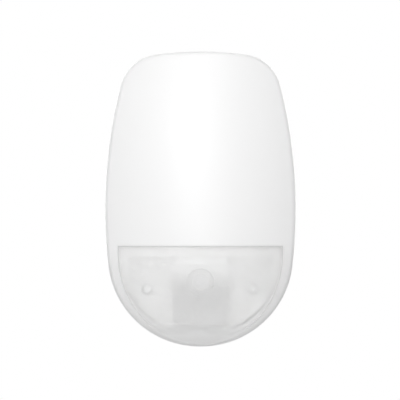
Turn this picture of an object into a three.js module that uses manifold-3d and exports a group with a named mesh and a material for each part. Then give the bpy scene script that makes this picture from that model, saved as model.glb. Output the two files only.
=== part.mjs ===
// Wireless wall motion detector: a white egg shaped case with a curved frosted lens at its foot.
// Millimetres, +Z up. The wall face is the plane Y = 0 and the front looks along -Y.
// Depth is measured from the wall towards the room, so a point at depth d has Y = -d.

import * as THREE from "three";
import { mergeVertices } from "three/addons/utils/BufferGeometryUtils.js";
import Module from "manifold-3d";

const wasm = await Module();
wasm.setup();

// Fits shared by all pieces
const gap = 0.3;
const slidingGap = 0.2;
const overrun = 1;

// Case outline seen from the front, as tangent arcs
const caseHeight = 103;
const caseHalfWidth = 33.15;
const widestZ = -3;
const sideRadius = 175;
const topRadius = 120;
const cornerRadius = 14.4;

// Case profile seen from the side, and its curve from side to side
const caseDepth = 48.5;
const fullestZ = -15;
const browDepth = 33;
const chinDepth = 24;
const crossRadius = 60;
const edgeRadius = 1.2;
const coverWall = 2;

// Rear housing
const seamDepth = 15;
const housingDraft = 1.2;
const housingBackRound = 1.6;
const housingFloor = 2.2;
const housingWall = 2.4;
const lipHeight = 2.5;
const facetBackX = 24;
const postRadius = 2.6;
const postBore = 1.15;
const postBoreFloor = 2;

// Hooks that carry the cover at its top edge
const hookX = 7.5;
const hookWidth = 5;
const hookReach = 4.2;
const hookThickness = 1.2;
const hookNib = 1.3;
const hookNibLength = 1.5;
const pocketRearWall = 1.1;

// Screw that locks the cover at its bottom edge
const screwBossBackRoom = 0.5;
const screwBossRadius = 3.6;
const screwHeadRadius = 1.9;
const screwHeadHeight = 1.6;
const screwShankRadius = 1.1;
const screwTravel = 3;
const screwSlotWidth = 0.7;
const screwSlotDepth = 0.7;
const screwHeadRecess = 0.3;
const screwSeatThickness = 1;
const lugHalfWidth = 3.8;
const lugHeight = 3.3;
const lugClearance = 0.8;

// Wall screw slots
const wallSlotWidth = 5.2;
const topSlotLength = 8;
const topSlotShare = 0.796;
const lowerSlotLength = 7;
const lowerSlotXShare = 0.332;
const lowerSlotZShare = -0.767;

// Lens and its window
const windowTopShare = -0.3223;
const windowSideRim = 4.45;
const windowSideDrop = 2.8;
const windowRim = 0.75;
const lensRecess = 0.4;
const lensThickness = 1;
const lensBorder = 1;
const lensFlange = 2.5;
const lensFlangeThickness = 1;
const retainerThickness = 1;
const retainerOuter = 2;
const retainerInner = 3.2;
const retainerLegLength = 16;

// Main board
const boardBackDepth = 13.4;
const boardThickness = 1.6;
const boardSideRoom = 11.15;
const boardTopShare = 0.69;
const boardBottomShare = -0.68;
const boardCornerRadius = 3;
const boardScrewEdge = 3.5;
const boardScrewHeadRadius = 1.9;
const boardScrewHeadHeight = 1.3;
const boardScrewShankRadius = 0.9;
const boardScrewLength = 8;
const boardScrewDriveWidth = 0.6;
const boardScrewDriveLength = 2.4;
const boardScrewDriveDepth = 0.6;
const boardHoleRadius = 1.3;

// Heat sensor
const sensorShare = -0.5553;
const sensorSeatRadius = 5;
const sensorSeatHeight = 2.3;
const sensorFlangeRadius = 4.6;
const sensorFlangeHeight = 0.6;
const sensorCanRadius = 4.15;
const sensorCanHeight = 4.2;
const sensorWindowWidth = 4.2;
const sensorWindowHeight = 3.4;
const sensorWindowThickness = 0.5;
const sensorWindowRecess = 0.1;
const gasketOuterRadius = 6.4;
const gasketThickness = 1.9;

// White shroud around the heat sensor
const shroudBottomShare = -0.8544;
const shroudTopHalfWidth = 10.2;
const shroudBottomHalfWidth = 9;
const shroudCorner = 3.6;
const shroudFrontDepth = 30;
const shroudRidgeShare = -0.5942;
const shroudFootDepth = 24.8;
const shroudFloorDepth = 20.1;
const shroudFloorThickness = 1.2;
const shroudMouthRadius = 6.3;

// White plate that closes the lens chamber in front of the board
const platePlay = 0.5;
const plateDepth = 16.9;
const plateThickness = 1.2;
const plateAboveWindowTop = 0.9;

// Status lamp and its light guide
const lampWidth = 3.2;
const lampHeight = 1.6;
const lampThickness = 1.2;
const guideHalfWidth = 7.3;
const guideTopDrop = 0.8;
const guideHeight = 2.9;
const guideBehindCrown = 8.5;
const guideFlange = 1;
const guideFlangeThickness = 0.8;

// Battery and its holder
const cellRadius = 8.5;
const cellLength = 34.5;
const cellNubRadius = 3.2;
const cellNubHeight = 1.2;
const cellRound = 0.8;
const cellRoomShare = 0.24;
const holderWall = 1.2;
const holderEndWall = 2;
const holderFloor = 1.2;
const holderSideHeight = 9;
const contactThickness = 0.5;
const contactWidth = 7;
const contactAboveFloor = 1.4;
const contactTopShare = 0.78;
const contactDimpleRadius = 2.2;
const contactDimpleHeight = 0.5;
const contactBow = 0.9;

// Parts soldered to the board
const chipSize = 7;
const chipThickness = 1;
const chipXShare = -0.136;
const radioWidth = 12;
const radioHeight = 10;
const radioThickness = 2.4;
const radioXShare = 0.5;
const radioRoomShare = 0.24;
const radioRound = 0.8;
const capacitorRadius = 2.5;
const capacitorHeight = 5.5;
const capacitorXShare = 0.25;
const capacitorRound = 0.5;
const antennaRadius = 0.5;
const antennaBesideRadio = 1.3;
const antennaTurnXShare = -0.41;
const antennaZShare = 0.4;
const antennaEndShare = -0.08;
const antennaRise = 3.2;

// Setting switches
const dipWidth = 9.4;
const dipHeight = 6;
const dipThickness = 2.6;
const dipXShare = -0.659;
const dipPitch = 2.54;
const dipSlotLength = 3.2;
const dipSlotWidth = 1.5;
const dipSlotDepth = 1.6;
const dipTravel = 1.5;
const sliderLength = 1.3;
const sliderWidth = 1.1;
const sliderHeight = 1.8;

// Pairing button
const pairSize = 6;
const pairBodyThickness = 3.4;
const pairXShare = -0.7045;
const pairButtonRadius = 1.7;
const pairButtonHeight = 2.2;
const pairPocket = 1.2;
const pairTravel = 0.3;

// Cover tamper switch
const tamperXShare = 0.84;
const tamperRoomShare = 0.28;
const tamperSize = 6;
const tamperBodyThickness = 4.2;
const tamperPlungerRadius = 1.3;
const tamperPlungerLength = 7.2;
const tamperTravel = 1.5;
const tamperGrip = 1.7;
const shelfHeight = 3;
const shelfThickness = 2.4;

// Wall tamper switch on the back of the board
const wallTamperXShare = 0.409;
const wallTamperZShare = 0.3107;
const wallTamperSize = 6.2;
const wallTamperBodyThickness = 4;
const wallTamperPlungerRadius = 1.6;
const wallTamperTravel = 1.2;
const wallTamperGrip = 1;
const wallTamperSetBack = 0.1;

// Counts of steps along curves
const topSteps = 3;
const cornerSteps = 5;
const sideSteps = 6;
const bottomSteps = 8;
const edgeSteps = 3;
const windowSteps = 20;
const antennaSteps = 24;
const roundSides = 20;
const smallRoundSides = 14;
const ringShares = [0.93, 0.83, 0.7, 0.54, 0.36, 0.18];

// Heights follow the half height of the case, and places on the board its half width
const halfHeight = caseHeight / 2;
const boardFrontDepth = boardBackDepth + boardThickness;
const seatDepth = boardFrontDepth + gap;
const boardHalfWidth = caseHalfWidth - boardSideRoom;
const boardTopZ = halfHeight * boardTopShare;
const boardBottomZ = halfHeight * boardBottomShare;
const screwAxisDepth = seamDepth + gap + screwBossBackRoom + screwBossRadius;
const windowBackDepth = screwAxisDepth + screwBossRadius + gap;
const windowTopZ = halfHeight * windowTopShare;
const windowEllipseZ = windowTopZ - windowSideDrop;
const windowHalfWidth = caseHalfWidth - windowSideRim;
const guideHighZ = windowTopZ - guideTopDrop;
const guideLowZ = guideHighZ - guideHeight;
const guideFrontDepth = caseDepth - guideBehindCrown;
const sensorZ = halfHeight * sensorShare;
const shroudTopZ = guideLowZ - gap;
const shroudRidgeZ = halfHeight * shroudRidgeShare;
const shroudBottomZ = halfHeight * shroudBottomShare;

// Rows on the board between its top screws and the chamber plate: cell, switches, radio.
// What they leave free is shared out between them.
const holderHalfHeight = cellRadius + gap + holderWall;
const plateTopZ = windowTopZ + plateAboveWindowTop;
const rowTopZ = boardTopZ - boardScrewEdge - boardScrewHeadRadius;
const rowRoom = rowTopZ - plateTopZ - 2 * holderHalfHeight - tamperSize - radioHeight;
const cellZ = rowTopZ - rowRoom * cellRoomShare - holderHalfHeight;
const switchRowZ = cellZ - holderHalfHeight - rowRoom * tamperRoomShare - tamperSize / 2;
const radioRowZ = plateTopZ + rowRoom * radioRoomShare + radioHeight / 2;

// Closed body from a stack of rings, each ring clockwise as seen from the front, back ring first.
function stackBody(rings) {
  const count = rings[0].length;
  const points = rings.flat();
  const faces = [];
  for (let level = 0; level + 1 < rings.length; level += 1) {
    for (let index = 0; index < count; index += 1) {
      const next = (index + 1) % count;
      const a = level * count + index;
      const b = level * count + next;
      faces.push(a, a + count, b, a + count, b + count, b);
    }
  }
  const middle = (ring) => ring.reduce((sum, p) => sum.add(p), new THREE.Vector3()).divideScalar(count);
  const back = points.length;
  points.push(middle(rings[0]));
  points.push(middle(rings[rings.length - 1]));
  const lastRing = (rings.length - 1) * count;
  for (let index = 0; index < count; index += 1) {
    const next = (index + 1) % count;
    faces.push(back, index, next);
    faces.push(back + 1, lastRing + next, lastRing + index);
  }
  const geometry = new THREE.BufferGeometry().setFromPoints(points);
  geometry.setIndex(faces);
  return solid(geometry);
}

// Solid for joining and cutting, from any closed three.js geometry.
function solid(geometry) {
  const bare = new THREE.BufferGeometry();
  bare.setAttribute("position", geometry.getAttribute("position"));
  bare.setIndex(geometry.getIndex());
  const merged = mergeVertices(bare);
  return new wasm.Manifold(new wasm.Mesh({
    numProp: 3,
    vertProperties: new Float32Array(merged.getAttribute("position").array),
    triVerts: new Uint32Array(merged.getIndex().array),
  }));
}

function join(...bodies) {
  return bodies.reduce((whole, body) => whole.add(body));
}

function cut(body, ...tools) {
  return tools.reduce((rest, tool) => rest.subtract(tool), body);
}

// Box between two corners given by x, depth and z.
function block(x0, x1, depth0, depth1, z0, z1) {
  const geometry = new THREE.BoxGeometry(x1 - x0, depth1 - depth0, z1 - z0);
  geometry.translate((x0 + x1) / 2, -(depth0 + depth1) / 2, (z0 + z1) / 2);
  return solid(geometry);
}

// Round bar that stands out from the wall, between two depths.
function rod(x, z, depth0, depth1, radius, sides = roundSides) {
  const geometry = new THREE.CylinderGeometry(radius, radius, depth1 - depth0, sides);
  geometry.translate(x, -(depth0 + depth1) / 2, z);
  return solid(geometry);
}

// Upright round bar, between two heights.
function uprightRod(x, depth, z0, z1, radius, sides = roundSides) {
  const geometry = new THREE.CylinderGeometry(radius, radius, z1 - z0, sides);
  geometry.rotateX(Math.PI / 2);
  geometry.translate(x, -depth, (z0 + z1) / 2);
  return solid(geometry);
}

// Flat outline in x and z, run forward between two depths.
function plate(shape, depth0, depth1) {
  const settings = { depth: depth1 - depth0, bevelEnabled: false, curveSegments: 4 };
  const geometry = new THREE.ExtrudeGeometry(shape, settings);
  geometry.translate(0, 0, depth0);
  geometry.rotateX(Math.PI / 2);
  return solid(geometry);
}

// Flat outline in x and depth, run upward between two heights.
function column(points, z0, z1) {
  const shape = new THREE.Shape(points.map(([x, depth]) => new THREE.Vector2(x, -depth)));
  const geometry = new THREE.ExtrudeGeometry(shape, { depth: z1 - z0, bevelEnabled: false });
  geometry.translate(0, 0, z0);
  return solid(geometry);
}

// Flat outline in depth and z, run from side to side.
function sidePlate(points, x0, x1) {
  const shape = new THREE.Shape(points.map(([depth, z]) => new THREE.Vector2(z, depth)));
  const geometry = new THREE.ExtrudeGeometry(shape, { depth: x1 - x0, bevelEnabled: false });
  geometry.translate(0, 0, x0);
  geometry.applyMatrix4(new THREE.Matrix4().makeBasis(
    new THREE.Vector3(0, 0, 1), new THREE.Vector3(0, -1, 0), new THREE.Vector3(1, 0, 0)));
  return solid(geometry);
}

// Rectangle with round corners, centred on a point.
function roundRectangle(x, z, halfWidth, halfLength, radius) {
  const shape = new THREE.Shape();
  shape.moveTo(x - halfWidth + radius, z - halfLength);
  shape.lineTo(x + halfWidth - radius, z - halfLength);
  shape.absarc(x + halfWidth - radius, z - halfLength + radius, radius, -Math.PI / 2, 0);
  shape.lineTo(x + halfWidth, z + halfLength - radius);
  shape.absarc(x + halfWidth - radius, z + halfLength - radius, radius, 0, Math.PI / 2);
  shape.lineTo(x - halfWidth + radius, z + halfLength);
  shape.absarc(x - halfWidth + radius, z + halfLength - radius, radius, Math.PI / 2, Math.PI);
  shape.lineTo(x - halfWidth, z - halfLength + radius);
  shape.absarc(x - halfWidth + radius, z - halfLength + radius, radius, Math.PI, Math.PI * 1.5);
  return shape;
}

// Centres and radii of the outline's arcs on the right half, from the top down to the bottom.
function outlineArcs() {
  const top = { x: 0, z: halfHeight - topRadius };
  const side = { x: caseHalfWidth - sideRadius, z: widestZ };
  const drop = widestZ + halfHeight;
  const bottomRadius = (2 * sideRadius * caseHalfWidth - caseHalfWidth ** 2 - drop ** 2)
    / (2 * (sideRadius - drop));
  const bottom = { x: 0, z: bottomRadius - halfHeight };
  const apart = Math.hypot(side.x - top.x, side.z - top.z);
  const fromTop = topRadius - cornerRadius;
  const fromSide = sideRadius - cornerRadius;
  const along = (fromTop ** 2 - fromSide ** 2 + apart ** 2) / (2 * apart);
  const aside = Math.sqrt(fromTop ** 2 - along ** 2);
  const way = { x: (side.x - top.x) / apart, z: (side.z - top.z) / apart };
  const corner = {
    x: top.x + along * way.x + aside * way.z,
    z: top.z + along * way.z - aside * way.x,
  };
  const cornerStart = Math.atan2(corner.z - top.z, corner.x - top.x);
  const cornerEnd = Math.atan2(corner.z - side.z, corner.x - side.x);
  const bottomStart = Math.atan2(bottom.z - side.z, bottom.x - side.x);
  return [
    { centre: top, radius: topRadius, from: Math.PI / 2, to: cornerStart, steps: topSteps },
    { centre: corner, radius: cornerRadius, from: cornerStart, to: cornerEnd, steps: cornerSteps },
    { centre: side, radius: sideRadius, from: cornerEnd, to: bottomStart, steps: sideSteps },
    { centre: bottom, radius: bottomRadius, from: bottomStart, to: -Math.PI / 2, steps: bottomSteps },
  ];
}

const arcs = outlineArcs();

// The whole outline, stepped inwards by an inset, clockwise from the top.
function outline(inset) {
  const right = [];
  for (const arc of arcs) {
    for (let step = 0; step < arc.steps; step += 1) {
      const angle = arc.from + (arc.to - arc.from) * step / arc.steps;
      right.push([
        arc.centre.x + (arc.radius - inset) * Math.cos(angle),
        arc.centre.z + (arc.radius - inset) * Math.sin(angle),
      ]);
    }
  }
  right.push([0, inset - halfHeight]);
  const left = right.slice(1, -1).reverse().map(([x, z]) => [-x, z]);
  return [...right, ...left];
}

function outlineShape(inset) {
  return new THREE.Shape(outline(inset).map(([x, z]) => new THREE.Vector2(x, z)));
}

function ringAt(points, depthAt) {
  return points.map(([x, z]) => new THREE.Vector3(x, -depthAt(x, z), z));
}

// Depth of the front face, stepped inwards square to the face by an inset.
function frontDepth(x, z, inset) {
  const fall = caseDepth - (z > fullestZ ? browDepth : chinDepth);
  const run = z > fullestZ ? halfHeight - fullestZ : halfHeight + fullestZ;
  const radius = (run ** 2 + fall ** 2) / (2 * fall);
  const upright = Math.sqrt(radius ** 2 - (z - fullestZ) ** 2);
  const across = Math.sqrt(crossRadius ** 2 - x ** 2);
  const lean = Math.sqrt(1 + ((z - fullestZ) / upright) ** 2 + (x / across) ** 2);
  return caseDepth - (radius - upright) - (crossRadius - across) - inset * lean;
}

// The case as a full body in front of a flat back, stepped inwards all round by an inset.
function caseBody(inset, backDepth) {
  const round = Math.max(edgeRadius - inset, 0);
  const rings = [ringAt(outline(inset), () => backDepth)];
  const steps = round > 0 ? edgeSteps : 0;
  for (let step = 0; step <= steps; step += 1) {
    const angle = step / edgeSteps * Math.PI / 2;
    const inward = inset + round * (1 - Math.cos(angle));
    const lower = round * (1 - Math.sin(angle));
    rings.push(ringAt(outline(inward), (x, z) => frontDepth(x, z, inset) - lower));
  }
  const hub = fullestZ / 2;
  for (const share of ringShares) {
    const shrunk = outline(inset + round).map(([x, z]) => [x * share, hub + (z - hub) * share]);
    rings.push(ringAt(shrunk, (x, z) => frontDepth(x, z, inset)));
  }
  return stackBody(rings);
}

// The lens window: straight top edge, upright upper sides and a half ellipse below.
function windowPrism(growth, backDepth) {
  const halfWidth = windowHalfWidth + growth;
  const drop = windowEllipseZ + halfHeight - windowRim + growth;
  const high = windowTopZ + lensFlange + retainerInner;
  const points = [new THREE.Vector2(-halfWidth, high), new THREE.Vector2(halfWidth, high)];
  for (let step = 0; step <= windowSteps; step += 1) {
    const angle = step / windowSteps * Math.PI;
    points.push(new THREE.Vector2(halfWidth * Math.cos(angle), windowEllipseZ - drop * Math.sin(angle)));
  }
  const below = block(-caseHalfWidth - overrun, caseHalfWidth + overrun, backDepth, caseDepth + overrun,
    -halfHeight, windowTopZ + growth);
  return plate(new THREE.Shape(points), backDepth, caseDepth + overrun).intersect(below);
}

const detector = new THREE.Group();
detector.name = "motion_detector";

function addPiece(name, body, material) {
  const mesh = body.getMesh();
  const geometry = new THREE.BufferGeometry();
  geometry.setAttribute("position", new THREE.BufferAttribute(new Float32Array(mesh.vertProperties), 3));
  geometry.setIndex(new THREE.BufferAttribute(new Uint32Array(mesh.triVerts), 1));
  geometry.computeVertexNormals();
  const piece = new THREE.Mesh(geometry, material);
  piece.name = name;
  detector.add(piece);
}

// Materials, as their colour, roughness and metalness
function whiteCasePlastic() {
  return new THREE.MeshStandardMaterial({ color: 0xf1f1f1, roughness: 0.4, metalness: 0 });
}

function frostedLensPlastic() {
  return new THREE.MeshStandardMaterial({ color: 0xdedfdf, roughness: 0.5, metalness: 0 });
}

function insideWhitePlastic() {
  return new THREE.MeshStandardMaterial({ color: 0xe4e4e2, roughness: 0.55, metalness: 0 });
}

function clearGuidePlastic() {
  return new THREE.MeshStandardMaterial({ color: 0xe9efee, roughness: 0.15, metalness: 0 });
}

function boardLaminate() {
  return new THREE.MeshStandardMaterial({ color: 0x1f5a36, roughness: 0.5, metalness: 0 });
}

function blackPlastic() {
  return new THREE.MeshStandardMaterial({ color: 0x1b1c1d, roughness: 0.5, metalness: 0 });
}

function bluePlastic() {
  return new THREE.MeshStandardMaterial({ color: 0x2a55a0, roughness: 0.45, metalness: 0 });
}

function platedSteel() {
  return new THREE.MeshStandardMaterial({ color: 0xb9bbbc, roughness: 0.3, metalness: 1 });
}

function springBrass() {
  return new THREE.MeshStandardMaterial({ color: 0xc9a45c, roughness: 0.35, metalness: 1 });
}

function greyFoam() {
  return new THREE.MeshStandardMaterial({ color: 0x5a5c5e, roughness: 0.95, metalness: 0 });
}

function darkSilicon() {
  return new THREE.MeshStandardMaterial({ color: 0x26262b, roughness: 0.12, metalness: 0.4 });
}

function cellWrap() {
  return new THREE.MeshStandardMaterial({ color: 0x39424a, roughness: 0.35, metalness: 0 });
}

// Places on the board that several pieces share
const boardScrewX = boardHalfWidth - boardScrewEdge;
const boardScrews = [
  [-boardScrewX, boardTopZ - boardScrewEdge],
  [boardScrewX, boardTopZ - boardScrewEdge],
  [-boardScrewX, boardBottomZ + boardScrewEdge],
  [boardScrewX, boardBottomZ + boardScrewEdge],
];
const lowerSlotX = caseHalfWidth * lowerSlotXShare;
const lowerSlotZ = halfHeight * lowerSlotZShare;
const topSlotZ = halfHeight * topSlotShare;
const wallTamperX = boardHalfWidth * wallTamperXShare;
const wallTamperZ = halfHeight * wallTamperZShare;
const lipInset = coverWall + gap;
const cavityInset = housingDraft + housingWall;

// Rear housing: a shallow tray with a lip that the cover slips over, and 45 degree faces for a corner.
function facetColumn(inward) {
  const bevel = inward * Math.SQRT2;
  const wide = caseHalfWidth + overrun;
  const backX = facetBackX - bevel;
  const front = seamDepth + lipHeight + hookReach + screwAxisDepth;
  return column([
    [-backX, 0], [-wide, wide - backX], [-wide, front], [wide, front], [wide, wide - backX], [backX, 0],
  ], -halfHeight - overrun, halfHeight + overrun);
}

function housingShell() {
  const rings = [];
  for (let step = 0; step <= edgeSteps; step += 1) {
    const angle = step / edgeSteps * Math.PI / 2;
    const inward = housingDraft + housingBackRound * (1 - Math.sin(angle));
    rings.push(ringAt(outline(inward), () => housingBackRound * (1 - Math.cos(angle))));
  }
  rings.push(ringAt(outline(0), () => seamDepth));
  const lip = plate(outlineShape(lipInset), seamDepth - overrun, seamDepth + lipHeight);
  const cavity = plate(outlineShape(cavityInset), housingFloor, seamDepth + lipHeight + overrun);
  const full = join(stackBody(rings), lip).intersect(facetColumn(0));
  return cut(full, cavity.intersect(facetColumn(housingWall)));
}

const hookSide = hookX + hookWidth / 2;
const hookTopZ = halfHeight - lipInset - topRadius + Math.sqrt(topRadius ** 2 - hookSide ** 2);

function housingHook(x) {
  const top = hookTopZ;
  const tongue = block(x - hookWidth / 2, x + hookWidth / 2, seamDepth, seamDepth + hookReach,
    top - hookThickness, top);
  const nib = block(x - hookWidth / 2, x + hookWidth / 2, seamDepth + hookReach - hookNibLength,
    seamDepth + hookReach, top - hookThickness, top + hookNib);
  return join(tongue, nib);
}

const screwHeadBottomZ = -halfHeight + screwHeadRecess;
const screwBossTopZ = screwHeadBottomZ + screwHeadHeight + screwTravel + screwSeatThickness;
const lugBottomZ = screwBossTopZ + lugClearance;
const lugFrontDepth = screwAxisDepth + screwBossRadius;

function rearHousing() {
  const posts = boardScrews.map(([x, z]) =>
    rod(x, z, housingFloor - overrun, boardBackDepth - gap, postRadius));
  const bores = boardScrews.map(([x, z]) =>
    rod(x, z, housingFloor + postBoreFloor, boardBackDepth, postBore, smallRoundSides));
  const lug = block(-lugHalfWidth, lugHalfWidth, housingFloor - overrun, lugFrontDepth,
    lugBottomZ, lugBottomZ + lugHeight);
  const lugBore = uprightRod(0, screwAxisDepth, lugBottomZ - overrun, lugBottomZ + lugHeight + overrun,
    screwShankRadius + slidingGap, smallRoundSides);
  const bossNotch = block(-screwBossRadius - gap, screwBossRadius + gap, seamDepth,
    seamDepth + lipHeight + overrun, -halfHeight, -halfHeight + cavityInset + overrun);
  const topSlot = plate(roundRectangle(0, topSlotZ, wallSlotWidth / 2, topSlotLength / 2, wallSlotWidth / 6),
    -overrun, housingFloor + overrun);
  const lowerSlots = [-lowerSlotX, lowerSlotX].map((x) => plate(
    roundRectangle(x, lowerSlotZ, wallSlotWidth / 2, lowerSlotLength / 2, wallSlotWidth / 6),
    -overrun, housingFloor + overrun));
  const tamperHole = rod(wallTamperX, wallTamperZ, -overrun, housingFloor + overrun,
    wallTamperPlungerRadius + gap, smallRoundSides);
  const shell = cut(housingShell(), bossNotch);
  const whole = join(shell, ...posts, lug, housingHook(-hookX), housingHook(hookX));
  return cut(whole, ...bores, lugBore, topSlot, ...lowerSlots, tamperHole);
}

addPiece("rear_housing", rearHousing(), whiteCasePlastic());

// Main board on its four posts, with its screws
function mainBoard() {
  const halfLength = (boardTopZ - boardBottomZ) / 2;
  const sheet = plate(
    roundRectangle(0, (boardTopZ + boardBottomZ) / 2, boardHalfWidth, halfLength, boardCornerRadius),
    boardBackDepth, boardFrontDepth);
  const holes = boardScrews.map(([x, z]) =>
    rod(x, z, boardBackDepth - overrun, boardFrontDepth + overrun, boardHoleRadius, smallRoundSides));
  return cut(sheet, ...holes);
}

function boardScrew(x, z) {
  const headDepth = seatDepth + boardScrewHeadHeight;
  const head = rod(x, z, seatDepth, headDepth, boardScrewHeadRadius);
  const shank = rod(x, z, seatDepth - boardScrewLength, seatDepth + boardScrewHeadHeight / 2,
    boardScrewShankRadius, smallRoundSides);
  const half = boardScrewDriveLength / 2;
  const thin = boardScrewDriveWidth / 2;
  const driveFloor = headDepth - boardScrewDriveDepth;
  const level = block(x - half, x + half, driveFloor, headDepth + overrun, z - thin, z + thin);
  const upright = block(x - thin, x + thin, driveFloor, headDepth + overrun, z - half, z + half);
  return cut(join(head, shank), level, upright);
}

addPiece("main_board", mainBoard(), boardLaminate());
boardScrews.forEach(([x, z], index) => addPiece(`board_screw_${index + 1}`, boardScrew(x, z), platedSteel()));

// Heat sensor: seat, metal can with its dark window, and the foam ring that keeps insects out
const canBackDepth = seatDepth + sensorSeatHeight + gap;
const canFrontDepth = canBackDepth + sensorFlangeHeight + sensorCanHeight;

function sensorSeat() {
  return rod(0, sensorZ, seatDepth, seatDepth + sensorSeatHeight, sensorSeatRadius);
}

function sensorCan() {
  const flange = rod(0, sensorZ, canBackDepth, canBackDepth + sensorFlangeHeight, sensorFlangeRadius);
  const can = rod(0, sensorZ, canBackDepth, canFrontDepth, sensorCanRadius);
  const pocket = block(-sensorWindowWidth / 2 - gap, sensorWindowWidth / 2 + gap,
    canFrontDepth - sensorWindowThickness - sensorWindowRecess - gap, canFrontDepth + overrun,
    sensorZ - sensorWindowHeight / 2 - gap, sensorZ + sensorWindowHeight / 2 + gap);
  return cut(join(flange, can), pocket);
}

function sensorWindow() {
  const front = canFrontDepth - sensorWindowRecess;
  return block(-sensorWindowWidth / 2, sensorWindowWidth / 2, front - sensorWindowThickness, front,
    sensorZ - sensorWindowHeight / 2, sensorZ + sensorWindowHeight / 2);
}

const gasketFrontDepth = shroudFloorDepth - gap;

function sensorGasket() {
  const ring = rod(0, sensorZ, gasketFrontDepth - gasketThickness, gasketFrontDepth, gasketOuterRadius);
  const bore = rod(0, sensorZ, gasketFrontDepth - gasketThickness - overrun, gasketFrontDepth + overrun,
    sensorFlangeRadius + gap);
  return cut(ring, bore);
}

addPiece("sensor_seat", sensorSeat(), blackPlastic());
addPiece("sensor_can", sensorCan(), platedSteel());
addPiece("sensor_window", sensorWindow(), darkSilicon());
addPiece("sensor_gasket", sensorGasket(), greyFoam());

// Shroud: a white hood that leans back below a ridge, with a round funnel from the sensor to its front
function shroudOutline(growth) {
  const shape = new THREE.Shape();
  const top = shroudTopHalfWidth + growth;
  const bottom = shroudBottomHalfWidth + growth;
  const low = shroudBottomZ - growth;
  shape.moveTo(-top, shroudTopZ + growth);
  shape.lineTo(top, shroudTopZ + growth);
  shape.lineTo(bottom, low + shroudCorner);
  shape.quadraticCurveTo(bottom, low, bottom - shroudCorner, low);
  shape.lineTo(shroudCorner - bottom, low);
  shape.quadraticCurveTo(-bottom, low, -bottom, low + shroudCorner);
  return shape;
}

function sensorShroud() {
  const body = plate(shroudOutline(0), seatDepth, shroudFrontDepth);
  const side = sidePlate([
    [seatDepth, shroudTopZ], [shroudFrontDepth, shroudTopZ], [shroudFrontDepth, shroudRidgeZ],
    [shroudFootDepth, shroudBottomZ], [lugFrontDepth + 2 * gap, shroudBottomZ],
    [lugFrontDepth + 2 * gap, lugBottomZ + lugHeight + gap], [seatDepth, lugBottomZ + lugHeight + gap],
  ], -shroudTopHalfWidth - overrun, shroudTopHalfWidth + overrun);
  const throatDepth = shroudFloorDepth + shroudFloorThickness;
  const mouthDepth = shroudFrontDepth + overrun;
  const funnel = solid(new THREE.CylinderGeometry(sensorCanRadius + gap, shroudMouthRadius,
    mouthDepth - throatDepth, roundSides).translate(0, -(throatDepth + mouthDepth) / 2, sensorZ));
  const throat = rod(0, sensorZ, seatDepth - overrun, throatDepth + overrun, sensorCanRadius + gap);
  const nest = rod(0, sensorZ, seatDepth - overrun, shroudFloorDepth, gasketOuterRadius + gap);
  return cut(body.intersect(side), funnel, throat, nest);
}

addPiece("sensor_shroud", sensorShroud(), insideWhitePlastic());

// Chamber plate: closes the room behind the lens and lifts out to reach the lower wall screws
const plateFrontDepth = plateDepth + plateThickness;

function chamberPlate() {
  const back = plateDepth - overrun;
  const front = plateFrontDepth + overrun;
  const sheet = plate(outlineShape(cavityInset + platePlay), plateDepth, plateFrontDepth);
  const above = block(-caseHalfWidth, caseHalfWidth, back, front, plateTopZ, halfHeight);
  const shroudHole = plate(shroudOutline(gap), back, front);
  const footNotch = block(-lugHalfWidth - gap, lugHalfWidth + gap, back, front, -halfHeight, shroudBottomZ);
  const guideHole = block(-guideHalfWidth - gap, guideHalfWidth + gap, back, front,
    guideLowZ - gap, guideHighZ + gap);
  const screwHoles = boardScrews.slice(2).map(([x, z]) =>
    rod(x, z, back, front, boardScrewHeadRadius + gap, smallRoundSides));
  return cut(sheet, above, shroudHole, footNotch, guideHole, ...screwHoles);
}

addPiece("chamber_plate", chamberPlate(), insideWhitePlastic());

// Status lamp on the board, and the guide that brings its light to the lens
const lampZ = (guideHighZ + guideLowZ) / 2;

function statusLamp() {
  return block(-lampWidth / 2, lampWidth / 2, seatDepth, seatDepth + lampThickness,
    lampZ - lampHeight / 2, lampZ + lampHeight / 2);
}

function lightGuide() {
  const bar = block(-guideHalfWidth, guideHalfWidth, seatDepth, guideFrontDepth, guideLowZ, guideHighZ);
  const flangeDepth = plateFrontDepth + gap;
  const flange = block(-guideHalfWidth - guideFlange, guideHalfWidth + guideFlange, flangeDepth,
    flangeDepth + guideFlangeThickness, guideLowZ, guideHighZ);
  const lampRoom = block(-lampWidth / 2 - gap, lampWidth / 2 + gap, boardFrontDepth,
    seatDepth + lampThickness + gap, lampZ - lampHeight / 2 - gap, lampZ + lampHeight / 2 + gap);
  return cut(join(bar, flange), lampRoom);
}

addPiece("status_lamp", statusLamp(), insideWhitePlastic());
addPiece("light_guide", lightGuide(), clearGuidePlastic());

// Battery holder, cell and contacts, lying from side to side above the switches
const cellCentreDepth = seatDepth + holderFloor + gap + cellRadius;
const cavityHalfLength = cellLength / 2 + contactThickness + contactBow + gap;

// Round bar from side to side, turned from a profile of distance and radius.
function lyingTurning(profile, sides) {
  const points = profile.map(([along, radius]) => new THREE.Vector2(radius, along));
  const geometry = new THREE.LatheGeometry(points, sides);
  geometry.rotateZ(-Math.PI / 2);
  geometry.translate(0, -cellCentreDepth, cellZ);
  return solid(geometry);
}

function batteryHolder() {
  const halfLength = cavityHalfLength + holderEndWall;
  const tray = block(-halfLength, halfLength, seatDepth, seatDepth + holderFloor + gap + holderSideHeight,
    cellZ - holderHalfHeight, cellZ + holderHalfHeight);
  const room = lyingTurning([
    [-cavityHalfLength, 0], [-cavityHalfLength, cellRadius + gap],
    [cavityHalfLength, cellRadius + gap], [cavityHalfLength, 0],
  ], roundSides);
  const mouth = block(-cavityHalfLength, cavityHalfLength, cellCentreDepth, cellCentreDepth + cellRadius,
    cellZ - cellRadius - gap, cellZ + cellRadius + gap);
  return cut(tray, room, mouth);
}

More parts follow.
